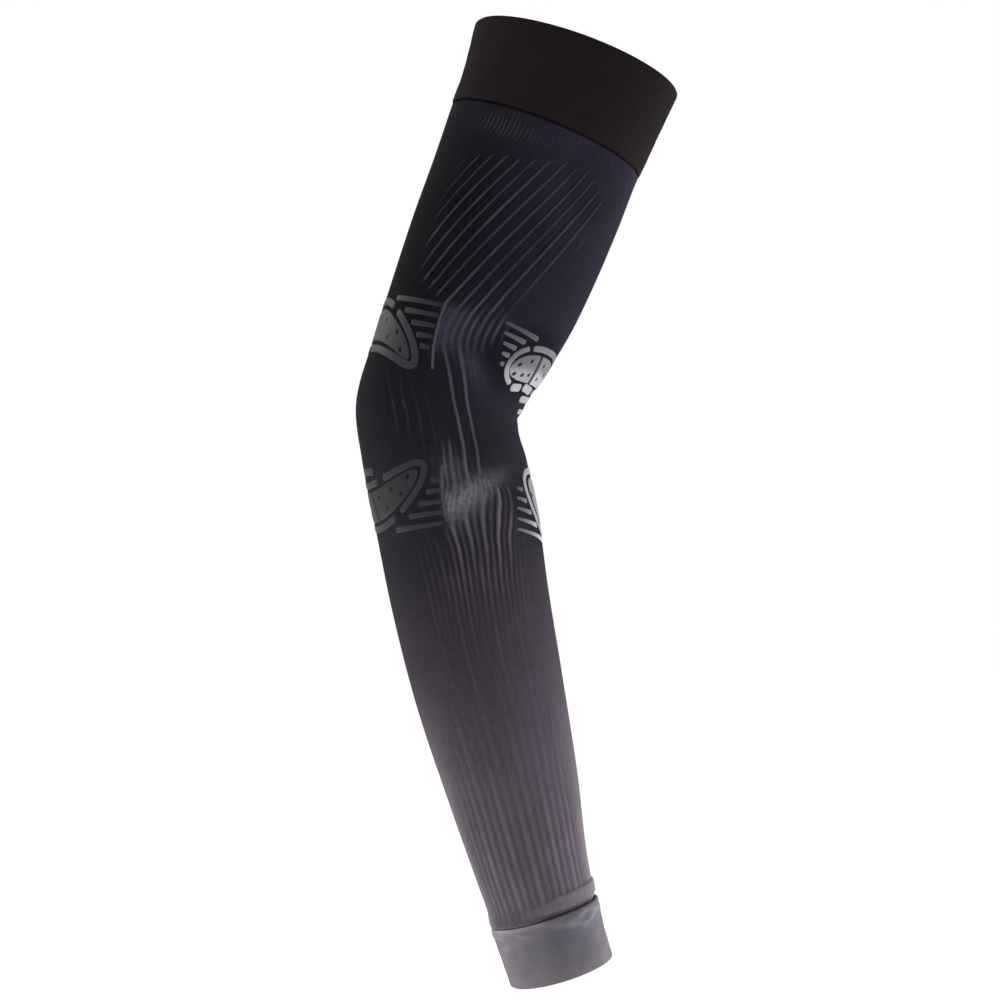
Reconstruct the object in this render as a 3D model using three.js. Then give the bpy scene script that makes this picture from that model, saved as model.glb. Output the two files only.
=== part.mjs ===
// Arm sleeve: a bent knitted tube with raised ribs, a cuff at each end and four thin pads round the elbow.
// Millimetres, +Z up. The origin is the middle of the upper opening, and the elbow points towards -X.
import * as THREE from "three";
import { ParametricGeometry } from "three/addons/geometries/ParametricGeometry.js";
import { mergeVertices } from "three/addons/utils/BufferGeometryUtils.js";

const { degToRad, lerp, smoothstep } = THREE.MathUtils;

// Walls and clearances
const KNIT_WALL = 1.5;
const CUFF_WALL = 2;
const PAD_THICKNESS = 0.6;
const GAP = 0.3;
const RIM_ROUNDING = 0.4; // share of a wall's thickness by which its rim is rounded

// Cuffs: each laps over the end of the knitted tube and stands a little proud of the arm's outline
const UPPER_CUFF = { height: 40, proud: 0.5, lap: 7 };
const WRIST_CUFF = { height: 28, proud: 1.2, lap: 7 };
const TUCK_RUN = 3; // length over which the tube dips to pass under a cuff

// Ribs: lines along the tube that turn round it as they climb the upper arm and as they pass the elbow
const RIB_COUNT = 44;
const RIB_HEIGHT = 0.6;
const RIB_EDGE = 0.16; // share of half the width over which a ribbed panel fades out

// Mesh fineness
const COLUMNS = 2 * RIB_COUNT;
const CUFF_COLUMNS = 40;
const FOREARM_STEP = 18;
const ELBOW_STEP = 8;
const UPPER_ARM_STEP = 13;
const INNER_STEP = 52;
const CUFF_STEP = 15;
const PAD_STEPS = 20;
const PAD_ROWS = 3;

// Sections across the arm, from the upper rim to the wrist rim: the section's middle, its tilt in degrees
// about Y, its width in the plane of the bend and its depth across that plane.
const ARM_SECTIONS = [
  { place: "upper rim", x: 0, z: 0, tilt: 19.7, width: 98.6, depth: 96 },
  { place: "upper cuff", x: -7.7, z: -20.6, tilt: 20.5, width: 94.1, depth: 93 },
  { place: "upper seam", x: -15.1, z: -39, tilt: 21.5, width: 92.3, depth: 91 },
  { place: "biceps", x: -23.6, z: -62.4, tilt: 21, width: 91.1, depth: 90 },
  { place: "middle of upper arm", x: -33, z: -86.6, tilt: 19.5, width: 89.7, depth: 88.5 },
  { place: "lower upper arm", x: -43.5, z: -113.2, tilt: 17, width: 86.2, depth: 86 },
  { place: "above elbow", x: -53.1, z: -135.6, tilt: 12.5, width: 81.4, depth: 83 },
  { place: "elbow", x: -64.5, z: -163.7, tilt: 6, width: 75.2, depth: 81 },
  { place: "below elbow", x: -61.2, z: -185.5, tilt: 0, width: 75.8, depth: 82 },
  { place: "upper forearm", x: -55.8, z: -211.7, tilt: -4.5, width: 75.2, depth: 81 },
  { place: "forearm muscle", x: -49.2, z: -249.9, tilt: -8, width: 72.4, depth: 77 },
  { place: "middle of forearm", x: -40.4, z: -291.4, tilt: -11, width: 68.3, depth: 71 },
  { place: "lower forearm", x: -29.1, z: -337.4, tilt: -13.5, width: 60, depth: 62 },
  { place: "wrist", x: -20.9, z: -372.1, tilt: -15.5, width: 51.9, depth: 55 },
  { place: "wrist seam", x: -15.3, z: -392.1, tilt: -17, width: 48.6, depth: 52.5 },
  { place: "wrist cuff", x: -11.6, z: -405.4, tilt: -17, width: 46.9, depth: 52 },
  { place: "wrist rim", x: -7.3, z: -418.7, tilt: -16.7, width: 46.1, depth: 52 },
];

// How far the rib lines are turned from the front towards +X, in degrees, along the arm
const RIB_TWIST = [
  { station: 56, turn: 47.5 },
  { station: 85, turn: 31 },
  { station: 110, turn: 16 },
  { station: 130, turn: 5 },
  { station: 147, turn: 0 },
  { station: 165, turn: 13 },
  { station: 180, turn: 23 },
  { station: 202, turn: 22 },
  { station: 300, turn: 17 },
  { station: 440, turn: 10 },
];

// Where the ribs stand out, along the arm: left and right are the panel's edges as shares of half the width.
const RIB_PANEL = [
  { station: 58, left: -0.7, right: 0.78, strength: 0 },
  { station: 70, left: -0.8, right: 0.78, strength: 1 },
  { station: 97, left: -0.78, right: 0.6, strength: 1 },
  { station: 121, left: -0.65, right: 0.32, strength: 1 },
  { station: 144, left: -0.3, right: 0.2, strength: 0.8 },
  { station: 160, left: 0, right: 0.26, strength: 0.7 },
  { station: 180, left: 0.2, right: 0.44, strength: 0.7 },
  { station: 202, left: 0, right: 0.44, strength: 0.5 },
  { station: 214, left: -0.1, right: 0.5, strength: 0 },
  { station: 226, left: -0.25, right: 0.7, strength: 0.8 },
  { station: 260, left: -0.45, right: 0.74, strength: 0.9 },
  { station: 302, left: -0.72, right: 0.8, strength: 0.8 },
  { station: 405, left: -0.8, right: 0.85, strength: 1 },
  { station: 409, left: -0.8, right: 0.85, strength: 0 },
];

// Pads: bent ovals. The angle is measured round the arm from the front (-Y) towards +X, in degrees.
const PADS = [
  { name: "outer_pad_upper", angle: -73, span: 50.5, station: 144.3, height: 23.6, bend: 16.7 },
  { name: "outer_pad_lower", angle: -73, span: 62, station: 218.5, height: 20.8, bend: -15 },
  { name: "inner_pad_upper", angle: 66, span: 29.5, station: 150, height: 27.6, bend: 0 },
  { name: "inner_pad_lower", angle: 98, span: 36, station: 217, height: 38, bend: 0 },
];

const COLOURS = { cuff: "#1d181a", knit: "#2c2933", wristCuff: "#5d5b63", pad: "#8b8b8f" };
const FABRIC_ROUGHNESS = 0.9;
const PAD_ROUGHNESS = 0.5;

// A section's station is the length of the arm's middle line from the upper rim to that section.
const stations = ARM_SECTIONS.reduce((found, section, i) => {
  if (i === 0) return [0];
  const before = ARM_SECTIONS[i - 1];
  return [...found, found[i - 1] + Math.hypot(section.x - before.x, section.z - before.z)];
}, []);
const ARM_LENGTH = stations.at(-1);
const WRIST_SEAM = ARM_LENGTH - WRIST_CUFF.height;
const UPPER_SEAM = UPPER_CUFF.height;

// A curve of the given kind through some columns of a table, by station.
function tableCurve(Kind, at, rows, columns) {
  const values = rows.flatMap((row) => columns.map((column) => row[column]));
  return new Kind(at, values, columns.length, new Float64Array(columns.length));
}

const armColumns = ["x", "z", "tilt", "width", "depth"];
const panelColumns = ["left", "right", "strength"];
const panelStations = RIB_PANEL.map((row) => row.station);
const armCurve = tableCurve(THREE.CubicInterpolant, stations, ARM_SECTIONS, armColumns);
const panelCurve = tableCurve(THREE.LinearInterpolant, panelStations, RIB_PANEL, panelColumns);
const twistStations = RIB_TWIST.map((row) => row.station);
const twistCurve = tableCurve(THREE.CubicInterpolant, twistStations, RIB_TWIST, ["turn"]);

// A point on the arm's outline at an angle and a station, lifted off it by some millimetres.
function armPoint(angle, station, lift, target) {
  const [x, z, tilt, width, depth] = armCurve.evaluate(station);
  const sideways = (width / 2 + lift) * Math.sin(angle);
  const lean = degToRad(tilt);
  return target.set(
    x + sideways * Math.cos(lean),
    -(depth / 2 + lift) * Math.cos(angle),
    z - sideways * Math.sin(lean),
  );
}

// The angle of a rib line at a station.
function ribAngle(turn, station) {
  const [twist] = twistCurve.evaluate(station);
  return turn + degToRad(twist);
}

// How far a rib stands out: a cosine wave round the arm, kept to the ribbed panel.
function ribLift(turn, angle, station) {
  const [left, right, strength] = panelCurve.evaluate(station);
  const across = Math.sin(angle);
  const panel =
    smoothstep(across, left - RIB_EDGE, left) * (1 - smoothstep(across, right, right + RIB_EDGE));
  return RIB_HEIGHT * strength * panel * (0.5 + 0.5 * Math.cos(RIB_COUNT * turn));
}

// How far the tube dips at a station so that its ends pass under the cuffs.
function tuck(station) {
  const under = (cuff) => cuff.proud - CUFF_WALL - GAP;
  const upper = 1 - smoothstep(station, UPPER_SEAM + GAP, UPPER_SEAM + TUCK_RUN);
  const wrist = smoothstep(station, WRIST_SEAM - TUCK_RUN, WRIST_SEAM - GAP);
  return under(UPPER_CUFF) * upper + under(WRIST_CUFF) * wrist;
}

// Evenly spaced values from one station to another, both included, about a step apart.
function steps(from, to, step) {
  const count = Math.max(1, Math.round(Math.abs(to - from) / step));
  return Array.from({ length: count + 1 }, (_, i) => lerp(from, to, i / count));
}

// A closed surface: a loop of rows, each with its own values, carried along by a function of u and a row.
function loopGeometry(loop, count, pointAt) {
  const keys = Object.keys(loop[0]);
  const place = (u, v, target) => {
    const at = v * loop.length;
    const from = loop[Math.floor(at) % loop.length];
    const to = loop[(Math.floor(at) + 1) % loop.length];
    const row = Object.fromEntries(keys.map((key) => [key, lerp(from[key], to[key], at % 1)]));
    pointAt(u, row, target);
  };
  const geometry = new ParametricGeometry(place, count, loop.length);
  geometry.deleteAttribute("normal");
  geometry.deleteAttribute("uv");
  const closed = mergeVertices(geometry);
  closed.computeVertexNormals();
  return closed;
}

// The loop round a wall cut along the arm: up its outside, over the upper rim, down its inside, round the end.
function wallLoop(outside, inside, top, bottom, wall) {
  const round = RIM_ROUNDING * wall;
  const row = (station, depth, ribbed) => ({ station, depth, ribbed });
  return [
    row(bottom - round, 0, 0),
    ...outside.map((station) => row(station, 0, 1)),
    row(top + round, 0, 0),
    row(top, wall / 2, 0),
    row(top + round, wall, 0),
    ...inside.map((station) => row(station, wall, 0)),
    row(bottom - round, wall, 0),
    row(bottom, wall / 2, 0),
  ];
}

function fabricMesh(name, geometry, colour, roughness) {
  const material = new THREE.MeshStandardMaterial({ color: colour, roughness, metalness: 0 });
  const mesh = new THREE.Mesh(geometry, material);
  mesh.name = name;
  return mesh;
}

// The knitted tube, ribbed outside and plain inside.
function sleeveBody() {
  const top = UPPER_SEAM - UPPER_CUFF.lap;
  const bottom = WRIST_SEAM + WRIST_CUFF.lap;
  const elbowTop = ARM_SECTIONS.findIndex((row) => row.place === "lower upper arm");
  const elbowBottom = ARM_SECTIONS.findIndex((row) => row.place === "upper forearm");
  const outside = [
    WRIST_SEAM - GAP,
    ...steps(WRIST_SEAM - TUCK_RUN, stations[elbowBottom], FOREARM_STEP),
    ...steps(stations[elbowBottom], stations[elbowTop], ELBOW_STEP).slice(1),
    ...steps(stations[elbowTop], UPPER_SEAM + TUCK_RUN, UPPER_ARM_STEP).slice(1),
    UPPER_SEAM + GAP,
  ];
  const inside = [
    UPPER_SEAM + GAP,
    ...steps(UPPER_SEAM + TUCK_RUN, stations[elbowTop], INNER_STEP),
    ...steps(stations[elbowTop], stations[elbowBottom], INNER_STEP / 2).slice(1),
    ...steps(stations[elbowBottom], WRIST_SEAM - TUCK_RUN, INNER_STEP).slice(1),
    WRIST_SEAM - GAP,
  ];
  const loop = wallLoop(outside, inside, top, bottom, KNIT_WALL);
  const geometry = loopGeometry(loop, COLUMNS, (u, row, target) => {
    const turn = 2 * Math.PI * u;
    const angle = ribAngle(turn, row.station);
    const rib = row.ribbed * ribLift(turn, angle, row.station);
    armPoint(angle, row.station, tuck(row.station) - row.depth + rib, target);
  });
  return fabricMesh("sleeve_body", geometry, COLOURS.knit, FABRIC_ROUGHNESS);
}

// A plain folded band round one end of the arm.
function cuff(name, size, top, bottom, colour) {
  const inner = steps(top + CUFF_WALL, bottom - CUFF_WALL, CUFF_STEP);
  const loop = wallLoop([...inner].reverse(), inner, top, bottom, CUFF_WALL);
  const geometry = loopGeometry(loop, CUFF_COLUMNS, (u, row, target) => {
    armPoint(2 * Math.PI * u, row.station, size.proud - row.depth, target);
  });
  return fabricMesh(name, geometry, colour, FABRIC_ROUGHNESS);
}

// A thin bent oval that follows the knitted tube: it runs from tip to tip round the arm.
function pad({ name, angle, span, station, height, bend }) {
  const rows = steps(1, -1, 2 / PAD_ROWS);
  const loop = [
    ...rows.map((along) => ({ along, lift: GAP + PAD_THICKNESS })),
    ...rows.reverse().map((along) => ({ along, lift: GAP })),
  ];
  const geometry = loopGeometry(loop, PAD_STEPS, (u, row, target) => {
    const across = -Math.cos(Math.PI * u);
    const reach = Math.sin(Math.PI * u) * (height / 2);
    const place = station + bend * across * across + row.along * reach;
    armPoint(degToRad(angle + span * across), place, row.lift, target);
  });
  return fabricMesh(name, geometry, COLOURS.pad, PAD_ROUGHNESS);
}

const armSleeve = new THREE.Group();
armSleeve.add(
  cuff("upper_cuff", UPPER_CUFF, 0, UPPER_SEAM, COLOURS.cuff),
  sleeveBody(),
  cuff("wrist_cuff", WRIST_CUFF, WRIST_SEAM, ARM_LENGTH, COLOURS.wristCuff),
  ...PADS.map(pad),
);

export default armSleeve;
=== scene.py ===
"""Arm sleeve: a bent knitted tube with raised ribs, a cuff at each end and raised pads round the elbow.

Every surface is worked out in the frame's own metres from one table of sections across the arm, so each
piece lies where its node lies. Angles round the arm start at the front (-Y) and grow towards +X.
"""

import logging
import math
from dataclasses import dataclass, replace
from enum import Enum

import bpy
import numpy as np
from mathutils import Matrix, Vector


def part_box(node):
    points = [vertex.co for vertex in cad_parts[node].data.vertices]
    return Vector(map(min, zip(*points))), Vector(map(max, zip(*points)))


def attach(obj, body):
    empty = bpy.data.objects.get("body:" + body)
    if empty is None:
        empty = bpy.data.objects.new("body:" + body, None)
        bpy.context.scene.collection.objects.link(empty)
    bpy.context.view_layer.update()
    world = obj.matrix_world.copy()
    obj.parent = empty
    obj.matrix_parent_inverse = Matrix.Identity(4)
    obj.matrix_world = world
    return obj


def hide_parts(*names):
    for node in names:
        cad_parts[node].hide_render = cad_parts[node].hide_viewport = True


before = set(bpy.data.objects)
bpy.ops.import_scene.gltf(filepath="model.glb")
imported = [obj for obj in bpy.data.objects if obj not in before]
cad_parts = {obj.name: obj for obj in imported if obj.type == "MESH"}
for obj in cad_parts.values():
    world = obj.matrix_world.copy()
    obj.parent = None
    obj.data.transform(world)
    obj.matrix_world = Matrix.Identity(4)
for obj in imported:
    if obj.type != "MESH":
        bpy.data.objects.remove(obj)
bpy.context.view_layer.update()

log = logging.getLogger("arm_sleeve")

Array = np.ndarray
Colour = tuple[float, float, float]
Point = tuple[float, float, float]
Range = tuple[float, float]
Stops = tuple[tuple[float, Colour], ...]


class Slot(Enum):
    """Material slots of the record."""

    UPPER_CUFF = "upper_cuff_knit"
    BODY = "ribbed_knit"
    WRIST_CUFF = "wrist_cuff_knit"
    PRINT = "pad_print"


def srgb(red: int, green: int, blue: int) -> Colour:
    """Turn a colour as a screen shows it into a linear one.

    Args:
        red: Red from 0 to 255.
        green: Green from 0 to 255.
        blue: Blue from 0 to 255.

    Returns:
        The linear colour.
    """
    shares = (red / 255, green / 255, blue / 255)
    linear = [share / 12.92 if share <= 0.04045 else ((share + 0.055) / 1.055) ** 2.4 for share in shares]
    return (linear[0], linear[1], linear[2])


def ramp_stops(*rows: tuple[float, int, int, int]) -> Stops:
    """Linear stops of a ramp, from rows of a place and a screen's red, green and blue."""
    return tuple((place, srgb(red, green, blue)) for place, red, green, blue in rows)


def smoothstep(value: Array, low: float, high: float) -> Array:
    """Rise smoothly from 0 at low to 1 at high: 3t2 - 2t3 of the clamped share t."""
    share = np.clip((np.asarray(value) - low) / (high - low), 0.0, 1.0)
    return share * share * (3.0 - 2.0 * share)


def bell(value: Array, middle: float, spread: float) -> Array:
    """A bell curve, 1 at its middle: the exponential of minus the squared distance over the spread."""
    return np.exp(-(((np.asarray(value) - middle) / spread) ** 2))


def cubic(knots: Array, values: Array, at: Array) -> Array:
    """Follow a table in cubic pieces.

    The slope at a row is the mean of the slopes of the two chords that meet there, and at an end it is the
    end chord's own slope.

    Args:
        knots: Places of the table's rows.
        values: The table's values.
        at: Places to read.

    Returns:
        The value at each place.
    """
    chord = np.diff(values) / np.diff(knots)
    slope = np.concatenate([chord[:1], (chord[1:] + chord[:-1]) / 2, chord[-1:]])
    low = np.clip(np.searchsorted(knots, at, side="right") - 1, 0, len(knots) - 2)
    step = knots[low + 1] - knots[low]
    share = (at - knots[low]) / step
    square = share * share
    cube = square * share
    return (
        (2 * cube - 3 * square + 1) * values[low]
        + (cube - 2 * square + share) * step * slope[low]
        + (3 * square - 2 * cube) * values[low + 1]
        + (cube - square) * step * slope[low + 1]
    )


@dataclass(frozen=True)
class Window:
    """A smooth rise from 0 at begin to 1 at full, and a smooth fall from 1 at fade to 0 at end."""

    begin: float
    full: float
    fade: float
    end: float

    def share(self, value: Array) -> Array:
        """Shares from 0 to 1 at some values."""
        return smoothstep(value, self.begin, self.full) * (1 - smoothstep(value, self.fade, self.end))

    def turned(self, angle: Array) -> Array:
        """Shares at some angles, where the window's own places are in degrees."""
        return self.share(np.degrees(angle))


@dataclass(frozen=True)
class Wave:
    """A sine wave over two places: its size, how fast it turns along each of them, and where it starts."""

    size: float
    around: float
    along: float
    start: float = 0.0

    def at(self, around: Array, along: Array) -> Array:
        """Heights of the wave at some places."""
        return self.size * np.sin(self.around * around + self.along * along + self.start)


class Place:
    """A place on the sleeve that is stronger at some points than at others."""

    def share(self, angle: Array, station: Array) -> Array:
        """Strength of the place.

        Args:
            angle: Angles round the arm.
            station: Places along the arm.

        Returns:
            The strength at each point.
        """
        raise NotImplementedError


@dataclass(frozen=True)
class SoftSpot(Place):
    """A soft oval place on the sleeve: a bell round the arm times a bell along it.

    The angle and the span are in degrees, the station and the run in metres, and the strength is the value
    in its middle. The lean is how many radians its middle turns for each metre along the arm, and the climb
    how many metres it moves along the arm for each radian.
    """

    angle: float
    span: float
    station: float
    run: float
    strength: float = 1.0
    lean: float = 0.0
    climb: float = 0.0

    def share(self, angle: Array, station: Array) -> Array:
        """Strength of the place.

        Args:
            angle: Angles round the arm.
            station: Places along the arm.

        Returns:
            The product of the two bells and the strength.
        """
        around = angle - math.radians(self.angle)
        along = station - self.station
        sideways = bell(around - self.lean * along, 0.0, math.radians(self.span))
        return self.strength * sideways * bell(along - self.climb * around, 0.0, self.run)


def total(places: tuple[Place, ...], angle: Array, station: Array) -> Array:
    """Strengths of some places added together, at angles round the arm and stations along it."""
    nothing = np.zeros(np.broadcast_shapes(angle.shape, station.shape))
    return sum((place.share(angle, station) for place in places), nothing)


def strongest(places: tuple[Place, ...], angle: Array, station: Array) -> Array:
    """Strength of the strongest of some places, at angles round the arm and stations along it."""
    return np.maximum.reduce([place.share(angle, station) for place in places])


@dataclass(frozen=True)
class Section:
    """One section across the arm: its middle, its tilt in degrees about Y, its width and its depth."""

    place: str
    x: float
    z: float
    tilt: float
    width: float
    depth: float


ARM_SECTIONS = (
    Section("upper rim", 0.0, 0.0, 19.7, 0.0986, 0.0960),
    Section("upper cuff", -0.0077, -0.0206, 20.5, 0.0941, 0.0930),
    Section("upper seam", -0.0151, -0.0390, 21.5, 0.0923, 0.0910),
    Section("biceps", -0.0236, -0.0624, 21.0, 0.0911, 0.0900),
    Section("middle of upper arm", -0.0330, -0.0866, 19.5, 0.0897, 0.0885),
    Section("lower upper arm", -0.0435, -0.1132, 17.0, 0.0862, 0.0860),
    Section("above elbow", -0.0531, -0.1356, 12.5, 0.0814, 0.0830),
    Section("elbow", -0.0645, -0.1637, 6.0, 0.0752, 0.0810),
    Section("below elbow", -0.0612, -0.1855, 0.0, 0.0758, 0.0820),
    Section("upper forearm", -0.0558, -0.2117, -4.5, 0.0752, 0.0810),
    Section("forearm muscle", -0.0492, -0.2499, -8.0, 0.0724, 0.0770),
    Section("middle of forearm", -0.0404, -0.2914, -11.0, 0.0683, 0.0710),
    Section("lower forearm", -0.0291, -0.3374, -13.5, 0.0600, 0.0620),
    Section("wrist", -0.0209, -0.3721, -15.5, 0.0519, 0.0550),
    Section("wrist seam", -0.0153, -0.3921, -17.0, 0.0486, 0.0525),
    Section("wrist cuff", -0.0116, -0.4054, -17.0, 0.0469, 0.0520),
    Section("wrist rim", -0.0073, -0.4187, -16.7, 0.0461, 0.0520),
)


@dataclass(frozen=True)
class ArmForm:
    """The smooth outline of the arm, carried through a table of sections."""

    sections: tuple[Section, ...] = ARM_SECTIONS
    probe: float = 1e-4

    @property
    def stations(self) -> Array:
        """Length of the arm's middle line from the upper rim to each section."""
        x = np.array([section.x for section in self.sections])
        z = np.array([section.z for section in self.sections])
        return np.concatenate([[0.0], np.cumsum(np.hypot(np.diff(x), np.diff(z)))])

    @property
    def length(self) -> float:
        """Length of the arm's middle line."""
        return float(self.stations[-1])

    def column(self, name: str, station: Array) -> Array:
        """Follow one column of the table, by its name, to places along the arm."""
        values = np.array([getattr(section, name) for section in self.sections])
        return cubic(self.stations, values, station)

    def points(self, angle: Array, station: Array, lift: Array | float) -> Array:
        """Place points on the arm's outline.

        A section is an oval in a plane tilted about Y. The sine of the angle goes along its width and minus
        the cosine along its depth, each half as long as the section plus the lift.

        Args:
            angle: Angles round the arm.
            station: Places along the arm.
            lift: Heights above the outline.

        Returns:
            Points, with x, y and z last.
        """
        angle, station, lift = np.broadcast_arrays(angle, station, lift)
        tilt = np.radians(self.column("tilt", station))
        sideways = (self.column("width", station) / 2 + lift) * np.sin(angle)
        forward = (self.column("depth", station) / 2 + lift) * np.cos(angle)
        x = self.column("x", station) + sideways * np.cos(tilt)
        z = self.column("z", station) - sideways * np.sin(tilt)
        return np.stack([x, -forward, z], axis=-1)

    def normals(self, angle: Array, station: Array) -> Array:
        """Directions straight out of the arm's outline, from the cross product of its two slopes.

        Args:
            angle: Angles round the arm.
            station: Places along the arm.

        Returns:
            Unit vectors, with x, y and z last.
        """
        probe = self.probe
        around = self.points(angle + probe, station, 0.0) - self.points(angle - probe, station, 0.0)
        along = self.points(angle, station + probe, 0.0) - self.points(angle, station - probe, 0.0)
        out = np.cross(along, around)
        return out / np.linalg.norm(out, axis=-1, keepdims=True)

    def radius(self, station: float) -> float:
        """Mean radius of the section at a station: a quarter of its width and depth together."""
        at = np.array(station)
        return float(self.column("width", at) + self.column("depth", at)) / 4


ARM = ArmForm()


class MeshParts:
    """Grids of points gathered into one mesh, with values for its material."""

    def __init__(self) -> None:
        """Start with no grid."""
        self.points: list[Array] = []
        self.faces: list[tuple[int, ...]] = []
        self.uvs: list[Array] = []
        self.values: dict[str, list[Array]] = {}
        self.count = 0

    def add(
        self,
        points: Array,
        uv: Array | None = None,
        wrap_rows: bool = False,
        caps: bool = False,
        **values: Array,
    ) -> None:
        """Add a grid whose columns close on themselves, turned so that its faces point outwards.

        Args:
            points: Points by row, column and axis.
            uv: Texture places by row and column, with one row and one column more than the points.
            wrap_rows: Whether the last row joins the first.
            caps: Whether the first and the last row are closed by a face each.
            values: Named values for the material, by row and column.
        """
        rows, columns = points.shape[:2]
        last = rows if wrap_rows else rows - 1
        row, column = np.meshgrid(np.arange(last), np.arange(columns), indexing="ij")
        corners = np.stack([row, row, row + 1, row + 1], axis=-1)
        sides = np.stack([column, column + 1, column + 1, column], axis=-1)
        quads = ((corners % rows) * columns + sides % columns).reshape(-1, 4)
        flat = points.reshape(-1, 3)
        a, b, c, d = (flat[quads[:, k]] for k in range(4))
        volume = np.einsum("ij,ij->", a, np.cross(b, c) + np.cross(c, d))
        order = (0, 1, 2, 3) if volume > 0 else (3, 2, 1, 0)
        quads = quads[:, order] + self.count
        self.faces += [tuple(face) for face in quads.tolist()]
        if uv is None:
            uv = np.zeros((rows + 1, columns + 1, 2))
        self.uvs.append(uv[corners, sides].reshape(-1, 4, 2)[:, order].reshape(-1, 2))
        if caps:
            first = list(range(self.count, self.count + columns))
            end = list(range(self.count + (rows - 1) * columns, self.count + rows * columns))
            faces = (first[::-1], end) if volume > 0 else (first, end[::-1])
            self.faces += [tuple(face) for face in faces]
            self.uvs.append(np.zeros((2 * columns, 2)))
        self.points.append(flat)
        self.count += rows * columns
        for name, value in values.items():
            self.values.setdefault(name, []).append(np.broadcast_to(value, (rows, columns)).ravel())

    def build(self, name: str, material: bpy.types.Material) -> bpy.types.Object:
        """Make the gathered grids into one object in the scene.

        Args:
            name: The piece's name.
            material: Its material.

        Returns:
            The new object, at the origin.
        """
        mesh = bpy.data.meshes.new(name)
        mesh.from_pydata(np.concatenate(self.points).tolist(), [], self.faces)
        layer = mesh.uv_layers.new(name="UVMap")
        layer.data.foreach_set("uv", np.concatenate(self.uvs).astype(np.float32).ravel())
        for key, value in self.values.items():
            attribute = mesh.attributes.new(key, "FLOAT", "POINT")
            attribute.data.foreach_set("value", np.concatenate(value).astype(np.float32))
        mesh.polygons.foreach_set("use_smooth", np.ones(len(mesh.polygons), dtype=bool))
        mesh.materials.append(material)
        mesh.update()
        piece = bpy.data.objects.new(name, mesh)
        bpy.context.scene.collection.objects.link(piece)
        return piece


class Value:
    """A number in a shader, with the usual operators."""

    def __init__(self, graph: "Graph", socket: bpy.types.NodeSocket) -> None:
        """Wrap the output that carries the number in a material's graph."""
        self.graph = graph
        self.socket = socket

    def __add__(self, other: "Value | float") -> "Value":
        """Sum."""
        return self.graph.math("ADD", self, other)

    __radd__ = __add__

    def __mul__(self, other: "Value | float") -> "Value":
        """Product."""
        return self.graph.math("MULTIPLY", self, other)

    __rmul__ = __mul__

    def __sub__(self, other: "Value | float") -> "Value":
        """Difference."""
        return self.graph.math("SUBTRACT", self, other)

    def __rsub__(self, other: "Value | float") -> "Value":
        """Difference from a plain number."""
        return self.graph.math("SUBTRACT", other, self)

    def __truediv__(self, other: "Value | float") -> "Value":
        """Quotient."""
        return self.graph.math("DIVIDE", self, other)

    def __neg__(self) -> "Value":
        """Opposite number."""
        return 0.0 - self

    def __abs__(self) -> "Value":
        """Size without its sign."""
        return self.graph.math("ABSOLUTE", self)

    def part(self) -> "Value":
        """Part after the point, from 0 to 1."""
        return self.graph.math("FRACT", self)

    def exp(self) -> "Value":
        """Exponential."""
        return self.graph.math("EXPONENT", self)


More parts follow.
